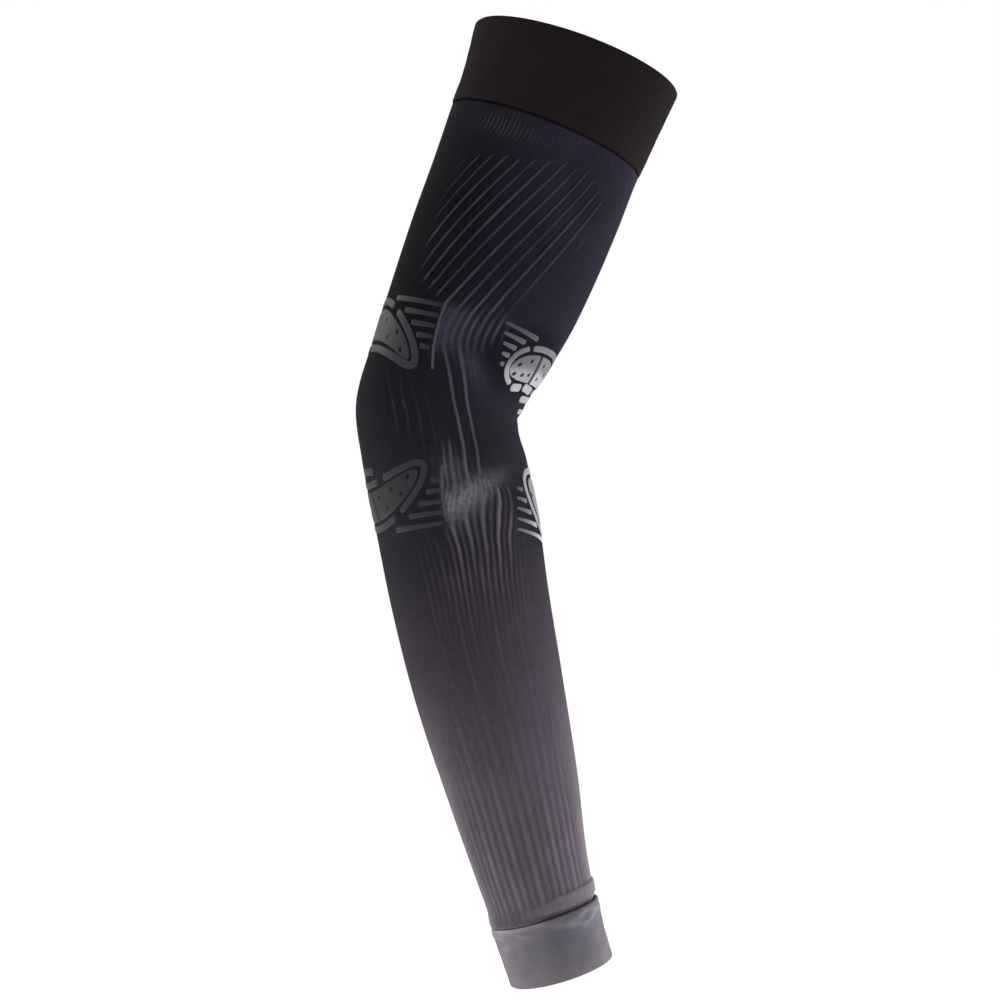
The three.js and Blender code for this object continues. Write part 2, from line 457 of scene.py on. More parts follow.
class Graph:
    """A material's nodes."""

    def __init__(self, name: str) -> None:
        """Start an empty material.

        Args:
            name: The material's name.
        """
        self.material = bpy.data.materials.new(name)
        self.material.use_nodes = True
        self.tree = self.material.node_tree
        self.tree.nodes.clear()

    def node(self, kind: str, settings: dict | None = None, inputs: dict | None = None) -> bpy.types.Node:
        """Add a node.

        Args:
            kind: The node's type.
            settings: Its own settings, or the stops of its ramp, set first.
            inputs: Values or links for its sockets, by name or by number.

        Returns:
            The new node.
        """
        made = self.tree.nodes.new(kind)
        for key, setting in (settings or {}).items():
            if key == "stops":
                self.set_stops(made.color_ramp, setting)
            else:
                setattr(made, key, setting)
        for key, given in (inputs or {}).items():
            source = given.socket if isinstance(given, Value) else given
            if isinstance(source, bpy.types.NodeSocket):
                self.tree.links.new(source, made.inputs[key])
            else:
                made.inputs[key].default_value = source
        return made

    @staticmethod
    def set_stops(ramp: bpy.types.ColorRamp, stops: Stops) -> None:
        """Give a ramp its stops.

        Args:
            ramp: The ramp.
            stops: Places from 0 to 1, each with its colour.
        """
        for place, _ in stops[2:]:
            ramp.elements.new(place)
        for element, (place, colour) in zip(ramp.elements, stops):
            element.position = place
            element.color = (*colour, 1.0)

    def math(self, operation: str, first: Value | float, second: Value | float | None = None) -> Value:
        """Work out one number from one or two others by an operation of the Math node."""
        inputs = {0: first} if second is None else {0: first, 1: second}
        return Value(self, self.node("ShaderNodeMath", {"operation": operation}, inputs).outputs[0])

    def attribute(self, name: str) -> Value:
        """Read a value that is stored on the mesh by its name."""
        return Value(self, self.node("ShaderNodeAttribute", {"attribute_name": name}).outputs["Fac"])

    def uv(self) -> tuple[Value, Value]:
        """Read the texture place.

        Returns:
            Its two numbers.
        """
        place = self.node("ShaderNodeUVMap", {"uv_map": "UVMap"})
        split = self.node("ShaderNodeSeparateXYZ", None, {0: place.outputs["UV"]})
        return Value(self, split.outputs[0]), Value(self, split.outputs[1])

    def noise(self, scale: float, detail: float, place: bpy.types.NodeSocket | None = None) -> Value:
        """Cloudy values.

        Args:
            scale: Clouds to each unit of the place.
            detail: Number of finer layers.
            place: Where they are read, if it isn't the place on the object in metres.

        Returns:
            Values about 0.5.
        """
        if place is None:
            place = self.node("ShaderNodeTexCoord").outputs["Object"]
        inputs = {"Vector": place, "Scale": scale, "Detail": detail}
        return Value(self, self.node("ShaderNodeTexNoise", None, inputs).outputs["Fac"])

    def streaks(self, across: Value, along: Value) -> Value:
        """Cloudy values in the knit's own two directions, about 0.5."""
        place = self.node("ShaderNodeCombineXYZ", None, {0: across, 1: along})
        return self.noise(1.0, detail=3.0, place=place.outputs[0])

    def threads(self, count: Value, sharpness: float = 30.0) -> Value:
        """Thin lines half-way between whole numbers: a narrow bell of the part after the point."""
        off = count.part() - 0.5
        return (-(off * off) * sharpness).exp()

    def ramp(self, value: Value, stops: Stops) -> bpy.types.NodeSocket:
        """Colour by a value from 0 to 1."""
        return self.node("ShaderNodeValToRGB", {"stops": stops}, {"Fac": value}).outputs["Color"]

    def mix(self, share: Value | float, first: object, second: object) -> bpy.types.NodeSocket:
        """Mix two colours.

        Args:
            share: How much of the second colour is taken.
            first: First colour or link.
            second: Second colour or link.

        Returns:
            The mixed colour.
        """
        ends = [(*end, 1.0) if isinstance(end, tuple) else end for end in (first, second)]
        settings = {"data_type": "RGBA", "blend_type": "MIX", "clamp_factor": True}
        return self.node("ShaderNodeMix", settings, {0: share, 6: ends[0], 7: ends[1]}).outputs[2]

    def scaled(self, colour: object, factor: Value) -> bpy.types.NodeSocket:
        """Make a colour lighter or darker.

        Args:
            colour: The colour or its link.
            factor: What each of its parts is multiplied by.

        Returns:
            The new colour.
        """
        first = colour if isinstance(colour, bpy.types.NodeSocket) else tuple(colour)
        inputs = {0: first, "Scale": factor}
        return self.node("ShaderNodeVectorMath", {"operation": "SCALE"}, inputs).outputs[0]

    def stitches(self, across: Value, along: Value, slant: float = 1.4) -> Value:
        """Height of a plain knit: rows of small slanting loops.

        Each loop is a bump one unit wide and one unit long. The loop's two legs slant up from its middle
        line, which gives the V of a plain stitch.

        Args:
            across: Columns of loops.
            along: Rows of loops.
            slant: How far the legs climb for each unit across.

        Returns:
            Heights from 0 to 1.
        """
        leg_narrowness = 30.0
        row_narrowness = 10.0
        side = abs(across.part() - 0.5)
        row = abs((along + side * slant).part() - 0.5)
        leg = abs(side - 0.25)
        return (-(leg * leg) * leg_narrowness - row * row * row_narrowness).exp()

    def finish(self, colour: object, settings: dict, bumps: tuple[tuple[Value, float, float], ...]) -> None:
        """Close the graph with a principled shader.

        Args:
            colour: Base colour or its link.
            settings: Other sockets of the shader, by name.
            bumps: Heights, each with its strength and its height in metres, one laid over the other.
        """
        inputs = dict(settings)
        inputs["Base Color"] = (*colour, 1.0) if isinstance(colour, tuple) else colour
        normal = None
        for height, strength, distance in bumps:
            layer = {"Height": height, "Strength": strength, "Distance": distance}
            if normal is not None:
                layer["Normal"] = normal
            normal = self.node("ShaderNodeBump", None, layer).outputs["Normal"]
        if normal is not None:
            inputs["Normal"] = normal
        shader = self.node("ShaderNodeBsdfPrincipled", None, inputs)
        self.node("ShaderNodeOutputMaterial", None, {"Surface": shader.outputs["BSDF"]})


@dataclass(frozen=True)
class KnitFinish:
    """The ribbed knit: nearly black at the top, fading to grey at the wrist, with lighter rib crests.

    The ramps run along the arm. The scales are clouds to the metre, and the shades are how far the clouds,
    the grain, the stitches and the streaks lighten the knit above its least shade. The right ground is
    lighter than the left partly by painted light from the right, the crests carry painted highlight over
    their paler yarn, and the grooves beside them are darkened by painted shade.
    """

    ground_left_with_painted_shade: Stops = ramp_stops(
        (0.08, 25, 23, 28), (0.20, 15, 14, 18), (0.32, 17, 17, 20), (0.42, 24, 25, 29), (0.50, 31, 30, 34),
        (0.56, 33, 31, 35), (0.69, 53, 48, 54), (0.78, 67, 61, 67), (0.86, 63, 58, 63), (0.93, 72, 66, 72),
    )
    # The right ground is lighter and bluer: partly the knit's navy tint, partly painted light from the
    # right.
    ground_right_with_painted_light: Stops = ramp_stops(
        (0.08, 41, 37, 50), (0.20, 31, 27, 40), (0.32, 30, 26, 39), (0.42, 30, 30, 37), (0.50, 34, 32, 39),
        (0.56, 40, 36, 43), (0.69, 63, 56, 65), (0.78, 75, 67, 77), (0.86, 67, 60, 69), (0.93, 74, 67, 76),
    )
    crest: Stops = ramp_stops(
        (0.08, 64, 61, 72), (0.20, 66, 63, 76), (0.27, 67, 64, 77), (0.32, 86, 82, 96), (0.42, 86, 85, 94),
        (0.52, 92, 87, 95), (0.58, 88, 82, 91), (0.69, 84, 77, 86), (0.82, 95, 88, 97), (0.93, 99, 91, 101),
    )
    patch: Stops = ramp_stops(
        (0.30, 59, 55, 74), (0.36, 58, 60, 72), (0.48, 98, 96, 104), (0.90, 110, 106, 114)
    )
    plain: Stops = ramp_stops((0.64, 52, 48, 52), (0.75, 84, 79, 83), (0.93, 110, 105, 109))
    fine: Colour = srgb(66, 62, 74)
    fine_share: float = 0.55
    fine_per_rib: float = 2.6
    strands_per_rib: float = 3.0
    strand_share: float = 0.35
    mottle_scale: float = 480.0
    mottle_share: float = 1.5
    # Painted shade: how far the ground beside each crest is darkened, and over what run.
    groove: float = 0.4
    groove_run: float = 0.1
    crest_least: float = 0.5
    crest_cloud: float = 0.9
    cloud_scale: float = 55.0
    grain_scale: float = 900.0
    stitches_per_rib: float = 8.0
    rows: float = 600.0
    streaks_per_rib: float = 4.0
    streak_rows: float = 70.0
    shade_least: float = 0.47
    shade_cloud: float = 0.24
    shade_grain: float = 0.16
    shade_stitch: float = 0.22
    shade_streak: float = 0.5
    roughness: float = 0.9
    specular: float = 0.03
    stitch_bump: Range = (0.5, 0.00025)
    grain_bump: Range = (0.25, 0.0002)

    def ribbed(self, graph: Graph, across: Value, along: Value, cloud: Value) -> bpy.types.NodeSocket:
        """Colour of the ground with its rib crests and painted shade in the grooves beside them.

        A crest is a bell about each whole number of ribs, a finer line a bell half-way between two, and a
        groove a bell two rib widths off. A crest's colour is paler yarn with painted highlight on it.

        Args:
            graph: The material's graph.
            across: Number of the rib.
            along: Share of the way down the arm.
            cloud: Cloudy values that vary the crests.

        Returns:
            The colour.
        """
        phase = (across + 0.5).part() - 0.5
        width = graph.attribute("rib_width")
        strength = graph.attribute("rib_strength")
        place = phase / width
        halfway = (0.5 - abs(phase)) / width
        crest = (-(place * place)).exp() * strength
        crest = crest + (-(halfway * halfway)).exp() * graph.attribute("between")
        # Painted shade in the groove beside each crest.
        beside = (abs(phase) - 2.0 * width) / self.groove_run
        groove = (-(beside * beside)).exp() * strength
        # Ground from left to right, lighter to the right partly by painted light.
        left = graph.ramp(along, self.ground_left_with_painted_shade)
        right = graph.ramp(along, self.ground_right_with_painted_light)
        ground = graph.mix(graph.attribute("side"), left, right)
        ground = graph.mix(graph.attribute("plain"), ground, graph.ramp(along, self.plain))
        ground = graph.scaled(ground, 1.0 - groove * self.groove)
        # Crest colour: paler yarn with painted highlight on it.
        share = crest * (self.crest_least + cloud * self.crest_cloud)
        return graph.mix(share, ground, graph.ramp(along, self.crest))

    def material(self) -> bpy.types.Material:
        """Build the material.

        Returns:
            The material of the knitted tube.
        """
        graph = Graph("ribbed_knit")
        across, along = graph.uv()
        cloud = graph.noise(self.cloud_scale, detail=3.0)
        grain = graph.noise(self.grain_scale, detail=2.0)
        mottle = graph.noise(self.mottle_scale, detail=3.0)
        colour = self.ribbed(graph, across, along, cloud)
        fine = graph.threads(across * self.fine_per_rib) * graph.attribute("fine")
        colour = graph.mix(fine * self.fine_share, colour, self.fine)
        strand = graph.threads(across * self.strands_per_rib)
        patch = graph.attribute("patch") * (mottle * self.mottle_share + strand * self.strand_share)
        colour = graph.mix(patch, colour, graph.ramp(along, self.patch))
        # Painted shade round the pads' bars and on the upper arm's right.
        colour = graph.scaled(colour, 1.0 - graph.attribute("dark"))
        stitch = graph.stitches(across * self.stitches_per_rib, along * self.rows)
        streak = graph.streaks(across * self.streaks_per_rib, along * self.streak_rows)
        shade = self.shade_least + cloud * self.shade_cloud + grain * self.shade_grain
        shade = shade + stitch * self.shade_stitch + streak * self.shade_streak
        settings = {"Roughness": self.roughness, "Specular IOR Level": self.specular}
        bumps = ((stitch, *self.stitch_bump), (grain, *self.grain_bump))
        graph.finish(graph.scaled(colour, shade), settings, bumps)
        return graph.material


@dataclass(frozen=True)
class CuffFinish:
    """A plain folded knit band, from a cool tone to a warm one, with painted highlight on its creases."""

    name: str
    cool: Colour
    warm: Colour
    # Colour of the painted highlight on the creases and the rim.
    pale: Colour
    cloud_scale: float = 70.0
    blotch_scale: float = 160.0
    grain_scale: float = 1100.0
    warm_blotch: float = 1.2
    crease_highlight_blotch: float = 1.4
    shade_least: float = 0.64
    shade_cloud: float = 0.44
    shade_grain: float = 0.14
    shade_stitch: float = 0.2
    roughness: float = 0.92
    specular: float = 0.03
    stitch_bump: Range = (0.5, 0.0002)
    grain_bump: Range = (0.25, 0.0002)

    def material(self) -> bpy.types.Material:
        """Build the material.

        Returns:
            The material of a cuff.
        """
        graph = Graph(self.name)
        stitch = graph.stitches(*graph.uv())
        cloud = graph.noise(self.cloud_scale, detail=3.0)
        blotch = graph.noise(self.blotch_scale, detail=4.0)
        grain = graph.noise(self.grain_scale, detail=2.0)
        warm = graph.attribute("warm") + (blotch - 0.5) * self.warm_blotch
        colour = graph.mix(warm, self.cool, self.warm)
        # Painted highlight on the creases and painted light on the wrist cuff's rim.
        colour = graph.mix(graph.attribute("crease") * (blotch * self.crease_highlight_blotch), colour, self.pale)
        shade = self.shade_least + cloud * self.shade_cloud + grain * self.shade_grain
        shade = shade + stitch * self.shade_stitch
        settings = {"Roughness": self.roughness, "Specular IOR Level": self.specular}
        bumps = ((stitch, *self.stitch_bump), (grain, *self.grain_bump))
        graph.finish(graph.scaled(colour, shade), settings, bumps)
        return graph.material


@dataclass(frozen=True)
class PrintFinish:
    """Satin grey raised print with dark dots, brightened and darkened by painted light and shade in its
    tone.
    """

    name: str
    colour: Colour
    specular: float = 0.06
    dot: Colour = srgb(14, 13, 16)
    cloud_scale: float = 120.0
    grain_scale: float = 1500.0
    shade_least: float = 0.8
    shade_cloud: float = 0.25
    shade_grain: float = 0.15
    roughness: float = 0.5
    rough_cloud: float = 0.2
    grain_bump: Range = (0.3, 0.0001)

    def material(self) -> bpy.types.Material:
        """Build the material.

        Returns:
            The material of a pad.
        """
        graph = Graph(self.name)
        cloud = graph.noise(self.cloud_scale, detail=3.0)
        grain = graph.noise(self.grain_scale, detail=2.0)
        shade = self.shade_least + cloud * self.shade_cloud + grain * self.shade_grain
        # The tone is painted light and shade over the print.
        shade = shade * graph.attribute("tone")
        colour = graph.mix(graph.attribute("dot"), graph.scaled(self.colour, shade), self.dot)
        rough = self.roughness + (cloud - 0.5) * self.rough_cloud
        settings = {"Roughness": rough, "Specular IOR Level": self.specular}
        graph.finish(colour, settings, ((grain, *self.grain_bump),))
        return graph.material


@dataclass(frozen=True)
class PanelRow:
    """The ribbed panel at one station.

    Its edges and the run over which it fades out there are shares of half the sleeve's width. The width
    is a rib's own, as a share of the ribs' pitch.
    """

    station: float
    left: float
    right: float
    strength: float
    width: float
    fade: float


@dataclass(frozen=True)
class RibFlow:
    """Where the rib lines run and how far they stand out.

    The twists are in degrees and the spreads are shares, each with its station first. Windows round the
    arm are in degrees, and those along it in metres. Each middle comes with its bell's spread.
    """

    count: int = 45
    columns: int = 360
    twists: tuple[Range, ...] = (
        (0.030, 43.6), (0.051, 43.6), (0.054, 42.6), (0.060, 39.4), (0.085, 25.6), (0.110, 11.9),
        (0.125, 4.0), (0.133, 0.6), (0.141, -0.3), (0.148, 1.6), (0.151, 4.1), (0.163, 14.5),
        (0.172, 20.6), (0.180, 24.3), (0.190, 24.3), (0.2015, 23.0), (0.213, 20.8), (0.219, 16.8),
        (0.225, 14.9), (0.232, 14.9), (0.2395, 15.8), (0.2545, 15.7), (0.286, 15.0), (0.308, 17.0),
        (0.353, 17.6), (0.385, 18.7), (0.440, 19.0),
    )
    lean: float = 0.3
    lean_middle: float = math.radians(-31.0)
    lean_end: Range = (0.204, 0.222)
    spreads: tuple[Range, ...] = (
        (0.030, 0.10), (0.120, 0.10), (0.150, 0.25), (0.213, 0.25), (0.232, 0.275), (0.2395, 0.19),
        (0.2545, 0.11), (0.272, 0.075), (0.286, 0.05), (0.308, 0.0), (0.353, -0.05), (0.385, 0.0),
        (0.440, 0.0),
    )
    spread_middle: float = math.radians(4.0)
    wander: tuple[Wave, ...] = (Wave(0.007, 5, 40), Wave(0.005, 11, -25))
    shift: float = math.radians(6.0)
    shift_along: Window = Window(0.209, 0.222, 0.222, 0.238)
    shift_around: Window = Window(8, 40, 60, 120)
    early: float = 0.006
    early_along: Window = Window(0.203, 0.213, 0.222, 0.240)
    early_around: Range = (8, 36)
    change: float = 0.2185
    change_slope: float = -0.012
    start: float = 0.2275
    start_slope: float = -0.027
    start_run: Range = (-0.005, 0.003)
    uneven: float = 0.18
    more_uneven: float = 0.3
    uneven_middle: Range = (0.295, 0.035)
    uneven_wave: Wave = Wave(1.0, 2.4, 45, 1.3)
    fainter: float = 0.6
    fainter_across: Range = (-0.85, -0.35)
    fainter_along: Range = (0.075, 0.105)
    faint: tuple[SoftSpot, ...] = (
        SoftSpot(-21, 14, 0.180, 0.014, 0.2, lean=13),
        SoftSpot(-22, 12, 0.262, 0.024, 0.2),
    )
    finer: tuple[SoftSpot, ...] = (SoftSpot(3, 17, 0.139, 0.0085, 0.7), SoftSpot(2, 6, 0.205, 0.008, 0.9))
    finer_along: Window = Window(0.210, 0.220, 0.252, 0.285)
    finer_around: Range = (10, 28)
    finer_least: float = 0.30
    finer_more: float = 0.2
    finer_middle: Range = (0.256, 0.014)
    panel: tuple[PanelRow, ...] = (
        PanelRow(0.0540, 0.40, 0.58, 0.0, 0.10, 0.05),
        PanelRow(0.0565, 0.24, 0.62, 0.7, 0.10, 0.05),
        PanelRow(0.0605, 0.00, 0.68, 0.8, 0.10, 0.05),
        PanelRow(0.0635, -0.42, 0.75, 0.8, 0.10, 0.05),
        PanelRow(0.0690, -0.64, 0.74, 0.8, 0.10, 0.06),
        PanelRow(0.0860, -0.68, 0.68, 0.8, 0.10, 0.08),
        PanelRow(0.1000, -0.66, 0.56, 0.8, 0.10, 0.08),
        PanelRow(0.1120, -0.66, 0.42, 0.8, 0.10, 0.08),
        PanelRow(0.1220, -0.60, 0.32, 0.8, 0.10, 0.08),
        PanelRow(0.1270, -0.42, 0.28, 0.8, 0.10, 0.08),
        PanelRow(0.1330, -0.26, 0.30, 0.75, 0.10, 0.08),
        PanelRow(0.1400, -0.24, 0.34, 0.6, 0.11, 0.08),
        PanelRow(0.1460, -0.22, 0.26, 0.45, 0.11, 0.07),
        PanelRow(0.1490, -0.17, 0.08, 0.6, 0.11, 0.05),
        PanelRow(0.1630, 0.04, 0.30, 0.75, 0.11, 0.05),
        PanelRow(0.1720, 0.155, 0.40, 0.75, 0.11, 0.05),
        PanelRow(0.1810, 0.22, 0.47, 0.75, 0.11, 0.05),
        PanelRow(0.1900, 0.18, 0.46, 0.75, 0.11, 0.06),
        PanelRow(0.1970, 0.05, 0.44, 0.85, 0.11, 0.06),
        PanelRow(0.2050, -0.03, 0.42, 0.95, 0.11, 0.05),
        PanelRow(0.2130, -0.08, 0.30, 0.8, 0.11, 0.05),
        PanelRow(0.2180, -0.10, 0.24, 0.3, 0.11, 0.05),
        PanelRow(0.2186, -0.10, 0.67, 1.0, 0.13, 0.06),
        PanelRow(0.2400, -0.08, 0.62, 1.0, 0.13, 0.10),
        PanelRow(0.2460, -0.08, 0.62, 0.75, 0.125, 0.10),
        PanelRow(0.2550, -0.12, 0.61, 0.48, 0.12, 0.12),
        PanelRow(0.2640, -0.16, 0.60, 0.34, 0.115, 0.15),
        PanelRow(0.2730, -0.20, 0.56, 0.27, 0.115, 0.18),
        PanelRow(0.2870, -0.26, 0.48, 0.22, 0.13, 0.22),
        PanelRow(0.3090, -0.42, 0.60, 0.11, 0.18, 0.25),
        PanelRow(0.3310, -0.62, 0.70, 0.28, 0.26, 0.20),
        PanelRow(0.3540, -0.74, 0.75, 0.60, 0.33, 0.14),
        PanelRow(0.3720, -0.80, 0.78, 0.85, 0.36, 0.10),
        PanelRow(0.4000, -0.82, 0.80, 0.95, 0.36, 0.10),
        PanelRow(0.4085, -0.82, 0.80, 0.0, 0.36, 0.10),
    )

    @property
    def turns(self) -> Array:
        """Turn of each column from the front, from the back seam round to it again."""
        return np.linspace(-math.pi, math.pi, self.columns, endpoint=False)

    def lines(self, turn: Array) -> Array:
        """Number of the rib line at some turns: a whole number on a rib's crest."""
        return turn * self.count / (2 * math.pi)

    def angle(self, turn: Array, station: Array) -> Array:
        """Angle of a rib line.

        All the lines are turned by the table's angle, which swings them towards +X as they climb the upper
        arm and as they pass the elbow, there those on the left further than those on the right. Then a
        sine of the angle reached, with the second table's share, draws them apart at the front. Just below
        the elbow those on the right run a little further out. Two small sine waves keep their spacing from
        being quite even.

        Args:
            turn: The line's turn.
            station: Places along the arm.

        Returns:
            Angles round the arm.
        """
        twist = np.radians(cubic(*np.array(self.twists).T, station))
        lean = self.lean * (1 - smoothstep(station, *self.lean_end))
        turned = turn + twist * (1 - lean * np.sin(turn - self.lean_middle))
        spread = np.interp(station, *np.array(self.spreads).T)
        wander = sum(wave.at(turn, station) for wave in self.wander)
        angle = turned + spread * np.sin(turned - self.spread_middle) + wander
        return angle + self.shift * self.shift_along.share(station) * self.shift_around.turned(angle)

    def row(self, name: str, station: Array) -> Array:
        """Follow one column of the panel's table, by its name, in straight lines."""
        at = [row.station for row in self.panel]
        return np.interp(station, at, [getattr(row, name) for row in self.panel])

    def reading(self, angle: Array, station: Array) -> Array:
        """Stations at which the panel's table is read: further on at the right, just below the elbow."""
        right = smoothstep(np.degrees(angle), *self.early_around)
        return station + self.early * self.early_along.share(station) * right

    def cover(self, angle: Array, station: Array, soften: float = 1.0) -> Array:
        """Share of the ribbed panel: 1 within its edges, faded out past them.

        Args:
            angle: Angles round the arm.
            station: Places along the arm.
            soften: What the table's fade is multiplied by.

        Returns:
            Shares from 0 to 1.
        """
        across = np.where(np.cos(angle) > 0, np.sin(angle), 2 * np.sign(np.sin(angle)))
        at = self.reading(angle, station)
        fade = self.row("fade", at) * soften
        rise = smoothstep((across - self.row("left", at)) / fade, -1.0, 0.0)
        fall = 1 - smoothstep((across - self.row("right", at)) / fade, 0.0, 1.0)
        return rise * fall

    def begun(self, angle: Array, station: Array) -> Array:
        """Shares of the forearm's ribs, from 0 above the slanting line where they begin to 1 below it."""
        return smoothstep(station - self.start - self.start_slope * angle, *self.start_run)

    def strength(self, angle: Array, station: Array, rib: Array) -> Array:
        """Share by which ribs stand out: the table's strength on the panel, varied from rib to rib.

        The forearm's ribs begin along a slanting line, and they vary more further down. Those at the left
        of the upper arm are fainter. A few faint ribs run down the elbow and beside the forearm's panel.

        Args:
            angle: Angles round the arm.
            station: Places along the arm.
            rib: Number of each rib.

        Returns:
            Shares from 0 to 1.
        """
        uneven = self.uneven + self.more_uneven * bell(station, *self.uneven_middle)
        vary = 1 - uneven + uneven * self.uneven_wave.at(rib, station)
        above = station < self.change + self.change_slope * np.sin(angle)
        begun = np.where(above, 1.0, self.begun(angle, station))
        left = 1 - smoothstep(np.sin(angle), *self.fainter_across)
        left = left * (1 - smoothstep(station, *self.fainter_along))
        full = self.row("strength", self.reading(angle, station)) * self.cover(angle, station)
        full = full * (1 - self.fainter * left)
        return (full * begun + total(self.faint, angle, station)) * vary

    def between(self, angle: Array, station: Array) -> Array:
        """Share by which finer lines stand out between the ribs, just above and just below the elbow.

        Args:
            angle: Angles round the arm.
            station: Places along the arm.

        Returns:
            Shares from 0 to 1.
        """
        low = self.begun(angle, station) * self.finer_along.share(station)
        low = low * bell(np.degrees(angle), *self.finer_around)
        low = low * (self.finer_least + self.finer_more * bell(station, *self.finer_middle))
        return total(self.finer, angle, station) + low


RIBS = RibFlow()


@dataclass(frozen=True)
class CuffSize:
    """A cuff's height along the arm, how proud it stands of the arm's outline, its lap and its wall."""

    height: float
    proud: float
    lap: float = 0.007
    wall: float = 0.002


UPPER_CUFF = CuffSize(0.040, 0.0005)
WRIST_CUFF = CuffSize(0.028, 0.0012)
UPPER_SEAM = UPPER_CUFF.height
WRIST_SEAM = ARM.length - WRIST_CUFF.height


def wall_rows(
    top: float, bottom: float, wall: float, steps: Range, extra: Array | tuple = (), round_steps: int = 6
) -> tuple[Array, Array]:
    """Rows of the loop round a wall: up its outside, over the upper rim, down its inside and round the end.

    Each rim is half a circle as wide as the wall.

    Args:
        top: Station of the upper rim.
        bottom: Station of the lower rim.
        wall: The wall's thickness.
        steps: Steps between the outer rows and between the inner ones.
        extra: Stations of more outer rows.
        round_steps: Steps of each rounded rim.

    Returns:
        Each row's station and its depth under the outer face, as columns.
    """
    first = top + wall / 2
    last = bottom - wall / 2
    outside, inside = (np.linspace(first, last, round((last - first) / step) + 1) for step in steps)
    outside = np.unique(np.concatenate([outside, extra]))[::-1]
    swing = np.linspace(0.0, math.pi, round_steps + 1)[1:-1]
    depth = wall / 2 * (1 - np.cos(swing))
    reach = wall / 2 * np.sin(swing)
    station = np.concatenate([outside, first - reach, inside, last + reach])
    depths = np.concatenate([outside * 0, depth, inside * 0 + wall, depth[::-1]])
    return station[:, None], depths[:, None]


def wall_uv(columns: int, count: int, station: Array, length: float) -> Array:
    """Texture places of the loop round a wall.

    Args:
        columns: Columns of points round the arm.
        count: Units of the texture all round the arm.
        station: Stations of the rows.
        length: Length of one unit along the arm.

    Returns:
        Texture places by row and column, with one row and one column more than the points.
    """
    across = np.linspace(-math.pi, math.pi, columns + 1) * count / (2 * math.pi)
    along = np.append(station, station.flat[0]) / length
    return np.stack(np.meshgrid(across, along), axis=-1)


# The left of the wrist in degrees, where the knit runs up to the cuff's edge.
SEAM_LEFT = Window(-150, -110, -25, 8)


@dataclass(frozen=True)
class Shade(Place):
    """An oval of painted shade on the knit: its middle and half its size in degrees and metres, and its
    strength.

    It is full up to one share of the way to its edge, and gone at the other.
    """

    angle: float
    station: float
    span: float
    height: float
    strength: float
    full: float = 0.7
    gone: float = 1.15

    def share(self, angle: Array, station: Array) -> Array:
        """Share by which painted shade darkens the knit.

        Args:
            angle: Angles round the arm.
            station: Places along the arm.

        Returns:
            The strength, faded out about the oval's edge.
        """
        around = (angle - math.radians(self.angle)) / math.radians(self.span)
        far = np.hypot(around, (station - self.station) / self.height)
        return self.strength * (1 - smoothstep(far, self.full, self.gone))


# Ovals of painted shade: round and between the pads' bars, and on the right of the upper arm where the light
# falls strongest.
BAR_SHADES = (
    Shade(52, 0.1465, 40, 0.0200, 0.42),
    Shade(84, 0.2245, 42, 0.0220, 0.36),
    Shade(-40, 0.1425, 21, 0.0130, 0.16),
    Shade(-27, 0.2185, 20, 0.0120, 0.16),
    Shade(44, 0.0560, 26, 0.0210, 0.26),
)


@dataclass(frozen=True)
class Streak(Place):
    """The lighter streak below the elbow: a bell along the arm about a slanting line.

    The climb is how far the line moves along the arm for each radian. The streak is broadest where it is
    full round the arm, and narrower where it fades out.
    """

    station: float = 0.2207
    climb: float = -0.0181
    around: Window = Window(-9, -3, 10, 58)
    run: float = 0.0032
    more_run: float = 0.0036
    strength: float = 0.95

    def share(self, angle: Array, station: Array) -> Array:
        """Share by which the knit is lighter.

        Args:
            angle: Angles round the arm.
            station: Places along the arm.

        Returns:
            The strength on the slanting line, falling off as a bell to both sides of it.
        """
        spread = self.around.turned(angle)
        off = station - self.station - self.climb * angle
        return self.strength * spread * bell(off / (self.run + self.more_run * spread), 0.0, 1.0)


@dataclass(frozen=True)
class LightEdge(Place):
    """A lighter place that begins at the line of the outer pad's bars and fades out away from it.

    The line lies at the angle in degrees at its station, and turns by the lean for each metre. The window
    round the arm is in radians from the line.
    """

    angle: float = -20.0
    station: float = 0.1315
    lean: float = 160.0
    around: Window = Window(0.0, 0.03, 0.12, 0.55)
    along: Window = Window(0.128, 0.134, 0.146, 0.156)
    strength: float = 0.6

    def share(self, angle: Array, station: Array) -> Array:
        """The strength beside the line, faded out round the arm and along it."""
        line = np.radians(self.angle + self.lean * (station - self.station))
        return self.strength * self.around.share(angle - line) * self.along.share(station)


@dataclass(frozen=True)
class SeamFold(Place):
    """The raised fold over the wrist cuff, which runs round the inner side of the arm.

    Its upper edge lies lower at the left by the drop, and a crease runs just above it. The rows are the
    stations that the tube's mesh needs for its edges.
    """

    top: float = 0.4003
    drop: float = 0.004
    drop_around: Range = (-30, 24)
    edge: float = 0.001
    foot: Range = (0.4064, 0.4076)
    crease: float = 0.4
    crease_middle: Range = (-0.0004, 0.0006)
    around: Window = Window(-34, 12, 105, 150)
    rise: float = 0.0008
    pale: float = 0.65
    rows: tuple[float, ...] = (0.4003, 0.4008, 0.4013, 0.4064, 0.4070, 0.4076)

    def share(self, angle: Array, station: Array) -> Array:
        """Share of the fold.

        Args:
            angle: Angles round the arm.
            station: Places along the arm.

        Returns:
            One on the fold, and a little under 0 along the crease above it.
        """
        past = station - self.top - self.drop * (1 - smoothstep(np.degrees(angle), *self.drop_around))
        along = smoothstep(past, 0.0, self.edge) * (1 - smoothstep(station, *self.foot))
        return (along - self.crease * bell(past, *self.crease_middle)) * self.around.turned(angle)


